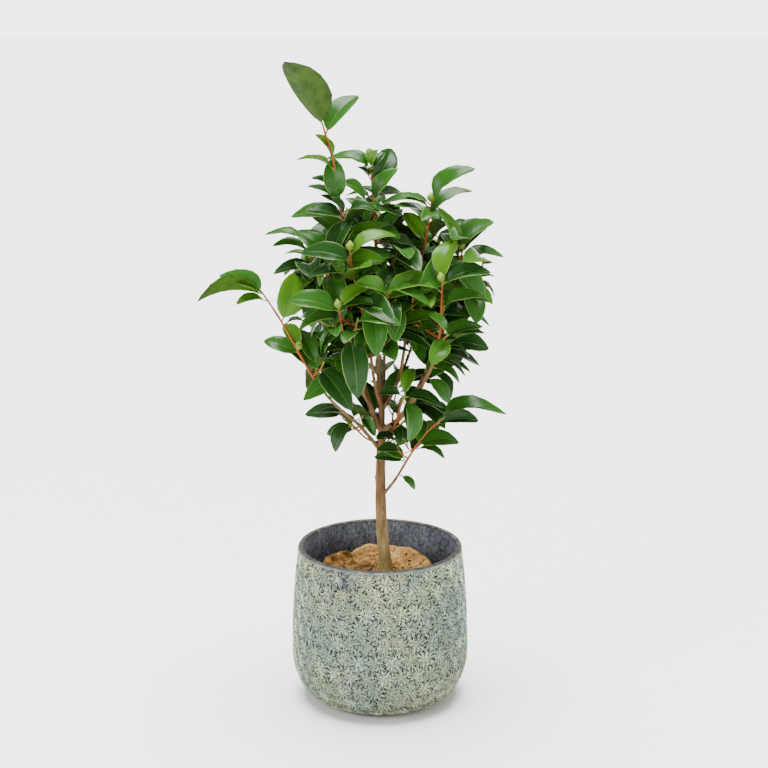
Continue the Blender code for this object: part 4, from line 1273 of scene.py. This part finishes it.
def pot_walls():
    """The recessed ground, slate inside, bare base, worn lip and the cream band under it."""
    recess = Finish("pot_recess", (0.06, 0.07, 0.07), 0.85)
    speck = recess.cloud((420.0, 3.0), (0.36, 0.30), (0.58, 1.0))
    recess.coat(recess.times(patina(recess, *RECESS_TONES), speck))
    recess.relief((600.0, 3.0), 0.6, 0.0006)

    slate = Finish("pot_slate", (0.06, 0.07, 0.09), 0.55)
    cloud = slate.cloud(
        (26.0, 6.0, 0.7, (1, 1, 0.7)),
        (0.32, (0.066, 0.078, 0.110)), (0.52, (0.135, 0.158, 0.205)), (0.72, (0.220, 0.250, 0.300)),
    )
    scratch = slate.cloud((330.0, 5.0, 0.75, (1, 1, 0.40)), (0.50, 0.0), (0.66, 0.62))
    hollow = slate.cloud((260.0, 4.0, 0.7, (1, 1, 0.7), (3, 5, 2)), (0.38, 0.30), (0.52, 1.0))
    streaks = slate.times(slate.blend(scratch, cloud, (0.50, 0.52, 0.54)), hollow)
    stains = slate.cloud((30.0, 4.0, 0.6, (1, 1, 0.5), (4, 4, 4)), (0.62, 0.0), (0.76, 1.0))
    slate.coat(slate.blend(stains, streaks, (0.20, 0.15, 0.11)))
    slate.relief((260.0, 4.0, 0.6, (1, 1, 0.3)), 0.3, 0.0006)

    base = Finish("pot_base", (0.30, 0.29, 0.25), 0.9)
    base.coat(base.cloud(
        (160.0, 6.0, 0.7),
        (0.30, (0.065, 0.050, 0.030)), (0.55, (0.15, 0.115, 0.065)), (0.75, (0.24, 0.19, 0.115)),
    ))
    base.relief((500.0, 4.0), 0.5, 0.0006)

    lip = Finish("pot_lip", (0.10, 0.09, 0.08), 0.8, 0.15)
    lip.coat(lip.cloud(
        (90.0, 5.0, 0.7),
        (0.36, (0.034, 0.036, 0.038)), (0.52, (0.070, 0.069, 0.063)), (0.70, (0.165, 0.145, 0.110)),
    ))
    lip.relief((400.0, 3.0), 0.4, 0.0005)

    cream = Finish("pot_band", (0.42, 0.41, 0.31), 0.75, 0.2)
    cream.coat(cream.cloud(
        (60.0, 5.0, 0.7, EVEN, (2, 2, 6)),
        (0.34, (0.070, 0.085, 0.084)), (0.50, (0.125, 0.132, 0.112)), (0.66, (0.27, 0.250, 0.175)),
    ))
    cream.relief((500.0, 3.0), 0.5, 0.0006)
    return recess, slate, base, lip, cream


def bark_finish():
    """Streaked bark, mossy at its foot, with painted light that lightens it towards the foot where the pot
    shades it, darker and redder up the trunk.
    """
    bark = Finish("bark", (0.30, 0.20, 0.11), 0.85, 0.08)
    streak = bark.cloud(
        (150.0, 6.0, 0.65, (1, 1, 0.16)),
        (0.28, (0.042, 0.025, 0.010)), (0.48, (0.138, 0.087, 0.035)), (0.68, (0.245, 0.160, 0.068)),
    )
    lichen = bark.cloud((55.0, 5.0, 0.7, (1, 1, 0.5), (2, 3, 1)), (0.50, 0.0), (0.66, 1.0))
    low = bark.by_height(0.19, 0.33, (0.0, 0.55), (1.0, 0.10))
    coat = bark.blend(bark.times(lichen, low), streak, (0.110, 0.120, 0.040))
    tuft = bark.cloud((330.0, 3.0, 0.6, EVEN, (6, 2, 9)), (0.50, 0.0), (0.58, 1.0))
    foot = bark.by_height(0.188, 0.250, (0.0, 0.75), (1.0, 0.0))
    coat = bark.blend(bark.times(tuft, foot), coat, (0.055, 0.080, 0.018))
    pale = bark.cloud((240.0, 3.0, 0.6, (1, 1, 0.7), (5, 1, 8)), (0.64, 0.0), (0.72, 0.5))
    rosy = bark.cloud((130.0, 3.0, 0.6, (1, 1, 0.6), (1, 8, 4)), (0.60, 0.0), (0.70, 0.55))
    worn = bark.blend(rosy, bark.blend(pale, coat, (0.29, 0.235, 0.145)), (0.28, 0.125, 0.060))
    # Painted light: the bark much lighter low down, where the pot shades it, and a little darker and redder
    # up the trunk.
    painted_foot_light_red_top = bark.by_height(
        0.19, 0.33, (0.0, (2.6, 2.7, 2.8)), (0.25, (1.9, 2.1, 2.2)), (0.48, (1.20, 1.28, 1.32)),
        (0.80, (0.80, 0.70, 0.72)),
    )
    bark.coat(bark.times(worn, painted_foot_light_red_top))
    bark.relief((420.0, 5.0, 0.65, (1, 1, 0.14)), 0.6, 0.0008)
    return bark


def vein(leaf, strength):
    """Side veins pressed into a leaf, which run out and forward from the midrib."""
    def sum_up(operation, *values):
        return leaf.node("ShaderNodeMath", *values, operation=operation).outputs[0]

    chart = leaf.node("ShaderNodeUVMap", uv_map="Surface").outputs["UV"]
    split = leaf.node("ShaderNodeSeparateXYZ", chart).outputs
    lag = sum_up("MULTIPLY", sum_up("ABSOLUTE", sum_up("SUBTRACT", split["X"], 0.5)), VEIN_LAG)
    ridge = sum_up("SINE", sum_up("SUBTRACT", sum_up("MULTIPLY", split["Y"], VEIN_PITCH), lag))
    leaf.relief(sum_up("ADD", sum_up("MULTIPLY", ridge, 0.5), leaf.grain(130.0, 1.0)), strength, 0.0004)


def leaf_finishes():
    """Stalk, rib and margin with its painted highlight, then upper and under sides of the four greens."""
    greens = [
        Finish("leaf_stalk", (0.16, 0.17, 0.030), 0.5, 0.2),
        Finish("leaf_rib", (0.045, 0.100, 0.010), 0.4, 0.2),
        # A painted highlight: the pale margin stands for the light on the leaf's fine edge.
        Finish("leaf_margin_highlight", (0.110, 0.190, 0.035), 0.45, 0.2),
    ]
    for name, (upper, under) in LEAF_GREENS.items():
        face = Finish(f"leaf_{name}", upper, LEAF_GLOSS, LEAF_SHEEN)
        vein(face, 0.13)
        back = Finish(f"leaf_{name}_under", under, 0.6, 0.06)
        vein(back, 0.25)
        cloud = back.cloud((55.0, 3.0, 0.6), (0.35, 0.62), (0.62, 1.15))
        freckle = back.cloud((330.0, 3.0, 0.6), (0.30, 0.30), (0.38, 1.0))
        back.coat(back.times(under, back.times(cloud, freckle)))
        greens += [face, back]
    return greens


def grained_finishes(rows, scale, detail, strength):
    """Plain finishes with a fine relief, from rows of name, colour, roughness and gloss."""
    made = [Finish(*row) for row in rows]
    for plain in made:
        plain.relief((scale, detail), strength, 0.0004)
    return made


def clay_finish():
    """Orange clay with rust, a damp and mossy side and dark specks."""
    clay = Finish("root_ball_clay", (0.50, 0.28, 0.11), 0.95, 0.08)
    body = clay.cloud(
        (70.0, 7.0, 0.68),
        (0.28, (0.120, 0.052, 0.012)), (0.40, (0.360, 0.175, 0.045)), (0.52, (0.60, 0.345, 0.110)),
        (0.68, (0.76, 0.500, 0.200)),
    )
    rust = clay.cloud((34.0, 4.0, 0.6, EVEN, (2, 6, 3)), (0.52, 0.0), (0.70, 0.8))
    warm = clay.blend(rust, body, (0.30, 0.110, 0.016))
    damp = clay.near(DAMP_SIDE, 0.082, (0.12, 0.0), (0.55, 1.0))
    blot = clay.cloud((90.0, 5.0, 0.7, EVEN, (4, 4, 1)), (0.34, 0.25), (0.60, 1.0))
    dark = clay.blend(clay.times(damp, blot), warm, (0.090, 0.040, 0.008))
    speck = clay.cloud((420.0, 4.0, 0.7, EVEN, (1, 1, 5)), (0.33, 0.25), (0.52, 1.0))
    algae = clay.cloud((70.0, 4.0, 0.7, EVEN, (9, 2, 4)), (0.56, 0.0), (0.68, 0.85))
    green = clay.times(algae, clay.ramp(damp, (0.0, 0.25), (0.6, 1.0)))
    clay.coat(clay.blend(green, clay.times(dark, speck), (0.060, 0.066, 0.012)))
    clay.relief((330.0, 7.0, 0.7), 0.9, 0.0018)
    return clay


def pot_outside(height):
    """The pot's outer radius at a height: a rounded foot, a belly and a gentle draw to the rim."""
    if height < POT_CURVE_HEIGHT:
        share = 1 - height / POT_CURVE_HEIGHT
        return POT_FOOT_RADIUS + (POT_BELLY_RADIUS - POT_FOOT_RADIUS) * math.sqrt(1 - share * share)
    above = max(0, (height - POT_BELLY_HEIGHT) / (POT_HEIGHT - POT_BELLY_HEIGHT))
    return POT_BELLY_RADIUS - (POT_BELLY_RADIUS - POT_RIM_RADIUS) * above**1.6


def pot_wobble(turn, height):
    """The small unevenness of a hand-cast wall."""
    spot = Vector((math.cos(turn) * 2.1, math.sin(turn) * 2.1, height * 14))
    return WALL_UNEVEN * noise.noise(spot)


def turned_faces(heap, profile, steps, kinds, wobble=None):
    """A closed turning of (radius, height) pairs that start and end on the axis."""
    places = [Vector((0, 0, profile[0][1]))]
    for radius, height in profile[1:-1]:
        for k in range(steps):
            turn = math.tau * k / steps
            grow = wobble(turn, height) if wobble else 0.0
            places.append(polar(turn, radius + grow, height))
    places.append(Vector((0, 0, profile[-1][1])))
    rounds = [(k, (k + 1) % steps) for k in range(steps)]
    faces = [(0, 1 + k, 1 + j) for k, j in rounds]
    end = 1 + (len(profile) - 3) * steps
    for here in range(1, end, steps):
        there = here + steps
        faces += [(here + k, there + k, there + j, here + j) for k, j in rounds]
    faces += [(end + j, end + k, len(places) - 1) for k, j in rounds]
    heap.add(places, faces, [kind for kind in kinds for _ in range(steps)])


def make_pot_shell():
    """The pot's wall: slate inside, a worn lip, the recessed ground of the relief outside."""
    inner = [(0.0, POT_FLOOR), (pot_outside(POT_FLOOR) - POT_WALL * 1.6, POT_FLOOR)]
    for i in range(1, 22):
        height = POT_FLOOR + (POT_HEIGHT - 0.004 - POT_FLOOR) * (i / 21) ** 1.3
        inner.append((pot_outside(height) - POT_WALL * (1.2 if i < 4 else 1), height))
    lip = []
    for i in range(9):
        turn = math.pi * (1 - i / 8)
        out = math.copysign(abs(math.cos(turn)) ** LIP_SQUARE, math.cos(turn))
        rise = max(0.0, math.sin(turn)) ** LIP_SQUARE
        middle = POT_RIM_RADIUS - POT_WALL / 2
        lip.append((middle + POT_WALL / 2 * out, POT_HEIGHT - LIP_RISE + LIP_RISE * rise))
    heights = [POT_HEIGHT - LIP_BAND * 0.55, POT_HEIGHT - LIP_BAND]
    band = [(pot_outside(height), height) for height in heights]
    outer = []
    for i in range(26):
        height = POT_HEIGHT - LIP_BAND - 0.0006 - (POT_HEIGHT - LIP_BAND - POT_CURVE_HEIGHT) * i / 25
        outer.append((pot_outside(height) - RELIEF, height))
    for i in range(1, 19):
        height = POT_CURVE_HEIGHT * (1 - math.sin(math.pi / 2 * i / 19))
        outer.append((pot_outside(height) - (RELIEF if height > BASE_BAND else 0.0), height))
    profile = inner + lip + band + outer + [(POT_FOOT_RADIUS, 0.0), (0.0, 0.0)]
    kinds = [1] * len(inner) + [3] * (len(lip) - 2) + [4] * (len(band) + 2)
    kinds += [0 if height > BASE_BAND else 2 for _, height in profile[len(kinds) + 1:]]
    heap = Heap()
    turned_faces(heap, profile, POT_SIDES, kinds, pot_wobble)
    return heap


def add_cone(heap, sides, radius, peak):
    """A ring with a peak over its middle."""
    places = [polar(math.tau * k / sides) * radius for k in range(sides)]
    heap.add(places + [peak], [(k, (k + 1) % sides, sides) for k in range(sides)])


def star_mesh():
    """One flat star flower: rays that run out as thin ridges, swell and come to a point."""
    heap = Heap()
    draw = random.Random(SEED + 13)
    for k in range(STAR_RAYS):
        turn = math.tau * (k + draw.uniform(-0.26, 0.26)) / STAR_RAYS
        reach = STAR_RADIUS * draw.uniform(0.62, 1.08)
        ahead = polar(turn)
        side = Vector((-ahead.y, ahead.x, 0))
        places = []
        for share, wide, rise in RAY_SECTIONS:
            middle = ahead * reach * share
            half = side * (RAY_WIDTH / 2 * wide)
            places += [middle - half, middle + UP * RELIEF * rise, middle + half]
        places.append(ahead * reach + UP * RELIEF * 0.2)
        faces = [(i + 3, i + 4, i + 1, i) for i in (0, 1, 3, 4, 6, 7)]
        heap.add(places, faces + [(12, 10, 9), (12, 11, 10)])
    add_cone(heap, 8, STAR_EYE, UP * RELIEF * 1.15)
    return heap.piece("star")


def pits_mesh():
    """The pits of one star flower, flat dark discs of painted shade, in rings between its rays."""
    heap = Heap()
    draw = random.Random(SEED + 17)
    for count, share, long, wide in PIT_RINGS:
        for k in range(count):
            turn = math.tau * (k + 0.5) / count + draw.uniform(-0.12, 0.12)
            ahead = polar(turn)
            side = Vector((-ahead.y, ahead.x, 0))
            middle = ahead * STAR_RADIUS * share * draw.uniform(0.76, 1.14) + UP * PIT_RISE
            grow = draw.uniform(0.50, 1.25)
            ring = []
            for j in range(6):
                spin = math.tau * j / 6
                ring.append(middle + (ahead * long * math.cos(spin) + side * wide * math.sin(spin)) * grow)
            heap.add(ring, [tuple(range(6))])
    return heap.piece("pits")


def pebble_mesh():
    """A small raised grain between the rays."""
    heap = Heap()
    add_cone(heap, 5, 1, UP)
    return heap.piece("pebble")


def scatter_tree(finish):
    """Geometry nodes: one shape on every point, turned and sized by the points' own values."""
    tree = bpy.data.node_groups.new("Relief on points", "GeometryNodeTree")
    for name, kind in (("Points", "Geometry"), ("Shape", "Object"), ("Size", "Float")):
        tree.interface.new_socket(name, in_out="INPUT", socket_type=f"NodeSocket{kind}")
    tree.interface.new_socket("Relief", in_out="OUTPUT", socket_type="NodeSocketGeometry")
    board = Board(tree)

    def value_of(key):
        made = board.node("GeometryNodeInputNamedAttribute", data_type="FLOAT_VECTOR", Name=key)
        return made.outputs["Attribute"]

    given = board.node("NodeGroupInput").outputs
    shape = board.node("GeometryNodeObjectInfo", given["Shape"])
    grow = board.node("ShaderNodeVectorMath", value_of("size"), operation="SCALE", Scale=given["Size"])
    place = board.node(
        "GeometryNodeInstanceOnPoints", given["Points"], Instance=shape.outputs["Geometry"],
        Rotation=value_of("roll"), Scale=grow.outputs["Vector"],
    )
    real = board.node("GeometryNodeRealizeInstances", place.outputs["Instances"])
    paint = board.node("GeometryNodeSetMaterial", real.outputs["Geometry"], Material=finish.material)
    board.node("NodeGroupOutput", paint.outputs["Geometry"])
    return tree


def scattered(name, spots, rolls, sizes, shape, size, finish):
    """A plain mesh of one shape on many spots, by geometry nodes."""
    mesh = bpy.data.meshes.new(name)
    mesh.from_pydata(spots, [], [])
    for key, values in (("roll", rolls), ("size", sizes)):
        layer = mesh.attributes.new(key, "FLOAT_VECTOR", "POINT")
        layer.data.foreach_set("vector", np.array(values, dtype=np.float32).ravel())
    item = put(name, mesh)
    spread = item.modifiers.new("Relief", "NODES")
    spread.node_group = scatter_tree(finish)
    inputs = {
        socket.name: socket.identifier
        for socket in spread.node_group.interface.items_tree if socket.in_out == "INPUT"
    }
    spread[inputs["Shape"]] = shape
    spread[inputs["Size"]] = size
    made = evaluated_mesh(item)
    item.modifiers.clear()
    item.data = made
    bpy.data.objects.remove(shape)
    return item


def outside_run():
    """The pot's outside from the lip down: lengths, (radius, height) pairs and outward directions."""
    top = POT_HEIGHT - LIP_BAND
    heights = [top - (top - POT_CURVE_HEIGHT) * i / 60 for i in range(60)]
    heights += [POT_CURVE_HEIGHT * (1 - math.sin(math.pi / 2 * i / 80)) for i in range(80)]
    points = np.array([(pot_outside(height) - RELIEF, height) for height in heights])
    steps = np.diff(points, axis=0)
    lengths = np.concatenate([[0.0], np.cumsum(np.hypot(steps[:, 0], steps[:, 1]))])
    slopes = np.gradient(points, lengths, axis=0)
    return lengths, points, np.stack([-slopes[:, 1], slopes[:, 0]], axis=1)


def wrap_on_pot(item):
    """Wraps a flat relief round the pot: x runs round it, y down its outside, z stands out of it."""
    lengths, points, outward = outside_run()
    flat = mesh_values(item.data.vertices, "co")
    turn = flat[:, 0] / POT_BELLY_RADIUS
    columns = (points[:, 0], points[:, 1], outward[:, 0], outward[:, 1])
    radius, height, out_r, out_z = [np.interp(flat[:, 1], lengths, column) for column in columns]
    wobble = np.array([pot_wobble(a, h) for a, h in zip(turn, height)])
    radius = radius + out_r * flat[:, 2] + wobble
    height = height + out_z * flat[:, 2]
    bent = np.stack([radius * np.cos(turn), radius * np.sin(turn), height], axis=1)
    item.data.vertices.foreach_set("co", bent.ravel())
    item.data.update()
    item.data.flip_normals()


def strewn(draw, count, run, long, raised=True):
    """Grains all over the wall, or pinholes if they aren't raised: places, turns and sizes."""
    spots, rolls, sizes = [], [], []
    for _ in range(count):
        place = (draw.uniform(0, math.tau) * POT_BELLY_RADIUS, draw.uniform(0.001, run))
        spots.append((*place, 0 if raised else PIT_RISE))
        rolls.append((0, 0, draw.uniform(0, math.tau)))
        wide = draw.uniform(0.35, 0.70) if raised else draw.uniform(0.5, 1.0)
        sizes.append((wide * draw.uniform(*long), wide, draw.uniform(0.4, 0.9) if raised else 0.05))
    return spots, rolls, sizes


def make_pot_relief(glazes, dark, rust):
    """Star flowers in half-offset rows round the pot, with strands, grains, and pits and pinholes of painted
    shade between them.
    """
    draw = random.Random(SEED + 11)
    lengths, points, _ = outside_run()
    run = lengths[-1] - STAR_END
    rows = round(run / STAR_PITCH)
    spots, rolls, sizes, shades = [], [], [], []
    for row in range(rows):
        down = STAR_START + (run - STAR_START) * (row + 0.5) / rows
        for k in range(STARS_ROUND):
            turn = math.tau * (k + 0.5 * (row % 2)) / STARS_ROUND
            x = turn * POT_BELLY_RADIUS + draw.uniform(-1, 1) * STAR_STRAY
            spots.append((x, down + draw.uniform(-1, 1) * STAR_STRAY, 0))
            rolls.append((0, 0, draw.uniform(-0.4, 0.4)))
            sizes.append((draw.uniform(0.88, 1.10), draw.uniform(0.88, 1.10), draw.uniform(0.5, 1.1)))
            shades.append(draw.choice((0, 1, 1, 2)))
    loose = [(0, 0, draw.uniform(0, math.tau)) for _ in spots]
    level = [(long, wide, 1.0) for long, wide, _ in sizes]
    # The pits: dark discs of painted shade.
    made = [scattered("pot_pits", spots, loose, level, pits_mesh(), 1.0, dark)]
    for shade, glaze in enumerate(glazes):
        chosen = [
            [value for value, mark in zip(values, shades) if mark == shade]
            for values in (spots, rolls, sizes)
        ]
        made.append(scattered(f"pot_stars_{shade + 1}", *chosen, star_mesh(), 1.0, glaze))
    grains = strewn(draw, GRAINS, run + 0.004, (0.7, 1.5))
    made.append(scattered("pot_grains", *grains, pebble_mesh(), GRAIN_SIZE, glazes[1]))
    strands = strewn(draw, STRANDS, run + 0.004, (3.0, 6.0))
    made.append(scattered("pot_strands", *strands, pebble_mesh(), GRAIN_SIZE, glazes[0]))
    # Pinholes: dark discs of painted shade.
    holes = strewn(draw, PINHOLES, run + 0.002, (1.0, 1.6), raised=False)
    made.append(scattered("pot_pinholes", *holes, pebble_mesh(), GRAIN_SIZE, dark))
    azimuth, height = CLAY_CHIP
    down = float(np.interp(-height, -points[:, 1], lengths))
    chip = [(math.radians(azimuth) * POT_BELLY_RADIUS, down, RELIEF)], [(0, 0, 0.4)], [(3.0, 2.4, 0.5)]
    made.append(scattered("pot_chip", *chip, pebble_mesh(), GRAIN_SIZE, rust))
    for item in made:
        wrap_on_pot(item)
    return made


def ragged(turn, waves):
    """A value of about -1 to 1 that wanders with the angle, from (count, phase) pairs."""
    return sum(math.sin(count * turn + phase) for count, phase in waves) / len(waves) ** 0.5


def ball_profile():
    """The root ball's section from its top to its foot, in fine steps near the rim."""
    rim = BALL_RIM_HEIGHT
    top = BALL_TOP_RADIUS
    coarse = [
        (0, SOIL_LEVEL), (SOIL_FLAT_RADIUS, SOIL_LEVEL), (top * 0.62, SOIL_LEVEL + 0.002),
        (top * 0.80, SOIL_LEVEL + 0.006), (top * 0.88, rim - 0.001), (top * 0.94, rim), (top, rim - 0.004),
        (top * 0.99, rim - 0.030), (top * 0.95, rim - 0.070), (BALL_FOOT_RADIUS + 0.006, POT_FLOOR + 0.050),
        (BALL_FOOT_RADIUS, POT_FLOOR + GAP), (0, POT_FLOOR + GAP),
    ]
    profile = [coarse[0]]
    for (r0, z0), (r1, z1) in zip(coarse, coarse[1:]):
        step = 0.0014 if z0 > rim - 0.05 else 0.008
        parts = max(1, min(24, round(math.hypot(r1 - r0, z1 - z0) / step)))
        profile += [(r0 + (r1 - r0) * i / parts, z0 + (z1 - z0) * i / parts) for i in range(1, parts + 1)]
    return profile[:-1] + [coarse[-1]]


def make_root_ball():
    """The tapered plug of clay, its broken rim and crust modelled in full."""
    noise.seed_set(SEED)
    heap = Heap()
    profile = ball_profile()
    turned_faces(heap, profile[::-1], BALL_SIDES, [0] * (len(profile) - 1))
    draw = random.Random(SEED)
    heights = [(count, draw.uniform(0, math.tau)) for count in (2, 3, 5, 8, 13)]
    widths = [(count, draw.uniform(0, math.tau)) for count in (2, 4, 7, 11)]
    for i, place in enumerate(heap.places):
        place = Vector(place)
        radius = math.hypot(place.x, place.y)
        turn = math.atan2(place.y, place.x)
        clod = max(0.0, math.cos(turn - math.radians(CLOD_SIDE)))
        if radius > SOIL_FLAT_RADIUS + 0.001 and place.z > SOIL_LEVEL - 0.020:
            share = min(1, (place.z - SOIL_LEVEL + 0.020) / 0.030)
            split = math.exp(-((turn - math.radians(CLOD_SPLIT)) / SPLIT_WIDTH) ** 2)
            lumps = RIM_LUMPS * ragged(turn, heights) * (0.30 + 0.70 * clod)
            rise = lumps - RIM_DROP * clod - SPLIT_DROP * split
            place.z += rise * share * (place.z > SOIL_LEVEL)
            grow = 1 + 0.020 * ragged(turn, widths)
            place.x *= grow
            place.y *= grow
        if place.z > POT_FLOOR + 0.004:
            lump = abs(noise.noise(place * 50))
            crust = noise.noise(place * 230) + 0.6 * abs(noise.noise(place * 480))
            edges = noise.voronoi(place * 34 + Vector((3, 1, 7)) + noise.noise_vector(place * 60) * 0.35)[0]
            crack = max(0, 1 - (edges[1] - edges[0]) / 0.10)
            on_side = place.z < BALL_RIM_HEIGHT - 0.012
            out = Vector((place.x, place.y, 0)).normalized() if on_side else UP
            rough = 0.45 + 0.9 * clod
            inside = min(1, radius / SOIL_FLAT_RADIUS)
            depth = CLAY_LUMP * lump - 0.0004 + CLAY_CRUST * crust - CLAY_CRACK * crack
            place += out * inside * rough * depth
        heap.places[i] = tuple(place + BALL_CENTRE)
    return heap


def add_chip(heap, spot, up, draw):
    """A curved sliver of wood that lies on the soil."""
    length = draw.uniform(0.005, 0.014)
    wide = draw.uniform(0.0016, 0.0042)
    thin = draw.uniform(0.0004, 0.0008)
    arch = draw.uniform(-0.1, 0.55)
    turned = Matrix.Rotation(draw.uniform(0, math.tau), 3, "Z")
    turned = turned @ Matrix.Rotation(math.radians(draw.gauss(0, 22)), 3, "X")
    turned = turned @ Matrix.Rotation(math.radians(draw.gauss(0, 16)), 3, "Y")
    places = []
    for k in range(5):
        share = k / 4 - 0.5
        taper = wide * (1 - 1.6 * share * share) * draw.uniform(0.8, 1.1)
        level = -arch * share * share * length * 2 + thin
        for across, rise in ((-1, 0), (1, 0), (1, thin), (-1, thin)):
            here = Vector((share * length, across * taper / 2, level + rise))
            places.append(spot + up * 0.0004 + turned @ here)
    faces = [(0, 1, 2, 3), (19, 18, 17, 16)]
    for ring in range(0, 16, 4):
        for j in range(4):
            a, b = ring + j, ring + (j + 1) % 4
            faces.append((b, a, a + 4, b + 4))
    heap.add(places, faces, draw.choice((0, 0, 1, 1, 2, 4)))


def make_litter(ground):
    """Wood chips and crumbs of clay on the soil, thickest in front and to the left of the trunk."""
    draw = random.Random(SEED + 3)
    heap = Heap()

    def lay_at(middle, turn, out):
        place = Vector((middle + out * math.cos(turn), out * math.sin(turn), 0.3))
        return ground.tree.ray_cast(place, -UP)[:2]

    for i in range(CHIPS):
        turn = math.radians(draw.gauss(205, 42) if i % 4 else draw.uniform(0, 360))
        spot, up = lay_at(0.004, turn, draw.uniform(0.010, 0.062))
        if spot is not None:
            add_chip(heap, spot, up, draw)
    ball = bmesh.new()
    bmesh.ops.create_icosphere(ball, subdivisions=1, radius=1)
    corners = [vertex.co.copy() for vertex in ball.verts]
    sides = [tuple(vertex.index for vertex in face.verts) for face in ball.faces]
    ball.free()
    for _ in range(CRUMBS):
        turn = draw.uniform(0, math.tau)
        spot, _ = lay_at(BALL_CENTRE.x, turn, draw.uniform(0.010, 0.072))
        if spot is not None:
            size = draw.uniform(0.0006, 0.0024) * draw.uniform(0.6, 1)
            spin = Matrix.Rotation(draw.uniform(0, math.tau), 3, Vector((draw.random(), 1, draw.random())))
            middle = spot + UP * size * 0.4
            places = [middle + spin @ (corner * size * draw.uniform(0.7, 1.2)) for corner in corners]
            heap.add(places, sides, draw.choice((3, 3, 3, 4)))
    return heap


def hang_lamp(name, kind, power, place, aim):
    """A lamp that shines from one place towards another."""
    lamp = bpy.data.lights.new(name, kind)
    lamp.energy = power
    item = put(name, lamp)
    item.location = place
    item.rotation_euler = (Vector(aim) - Vector(place)).to_track_quat("-Z", "Y").to_euler()
    return lamp


def make_stage():
    """A plain pale floor, soft studio lamps and the camera."""
    floor = Heap()
    corners = [(-FLOOR, -FLOOR, 0), (FLOOR, -FLOOR, 0), (FLOOR, FLOOR, 0), (-FLOOR, FLOOR, 0)]
    floor.add(corners, [(0, 1, 2, 3)])
    floor.piece("floor", [Finish("floor_pale", (0.92, 0.92, 0.92), 0.95, 0.0)])
    world = bpy.data.worlds.new("studio")
    world.use_nodes = True
    sky = Board(world.node_tree)
    background = sky.tree.nodes["Background"].inputs
    sky.feed(background["Color"], sky.ramp(sky.height("Generated"), (0.13, SKY_EDGE), (0.30, SKY_TOP)))
    sky.feed(background["Strength"], SKY_STRENGTH)
    bpy.context.scene.world = world
    hang_lamp("lamp_over", "SUN", OVER_LIGHT, OVER_FROM, (0, 0, 0)).angle = math.radians(OVER_SPREAD)
    for name, place, power in LAMPS:
        hang_lamp(name, "AREA", power, place, LAMP_AIM).size = LAMP_SIZE
    camera = bpy.data.cameras.new("camera")
    camera.sensor_width = 36
    camera.lens = CAMERA_LENS
    camera.clip_end = 100
    item = put("camera", camera)
    item.location = CAMERA_PLACE
    item.rotation_euler = (math.radians(CAMERA_TILT), 0, 0)
    bpy.context.scene.camera = item


def set_out(item, slot_name, *nodes):
    """A finished piece rides on the one body and stands for its solids."""
    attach(item, "root")
    if nodes:
        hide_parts(*nodes)


def main():
    make_stage()
    set_out(make_pot_shell().piece("pot_shell", pot_walls(), 50), "pot", "pot")
    # Near-black finish: painted shade in the pits and pinholes, which are flat discs on the wall.
    dark = Finish("pot_pit_shade", (0.012, 0.015, 0.015), 0.9, 0.1)
    rust = Finish("pot_rust", (0.13, 0.022, 0.012), 0.8)
    for item in make_pot_relief(pot_glazes(), dark, rust):
        set_out(item, "pot")

    clay = make_root_ball()
    set_out(clay.piece("root_ball_clay", [clay_finish()]), "root_ball", "root_ball")
    litter = make_litter(Solid([Vector(place) for place in clay.places], clay.faces))
    set_out(litter.piece("litter", grained_finishes(LITTER, 700.0, 4.0, 0.5), 40), "root_ball")

    limbs = {"trunk": make_trunk_limb()}
    for name, row in BOUGHS.items():
        limbs[name] = make_bough_limb(limbs, row)
    bark = make_bark(limbs)
    bark.data.materials.append(bark_finish().material)
    set_out(bark, "bark", "trunk", *[f"bough_{name}" for name in BOUGHS])

    crown = grow_crown(limbs)
    masses = [f"foliage_{name}" for name in MASSES]
    set_out(make_leaves(crown).piece("leaves", leaf_finishes(), 60), "foliage", *masses)
    set_out(make_twigs(crown).piece("twigs", grained_finishes(WOOD, 500.0, 4.0, 0.4), 60), "foliage")
    set_out(make_buds(crown).piece("buds", grained_finishes(BUD_SCALES, 300.0, 3.0, 0.2), 60), "foliage")


main()
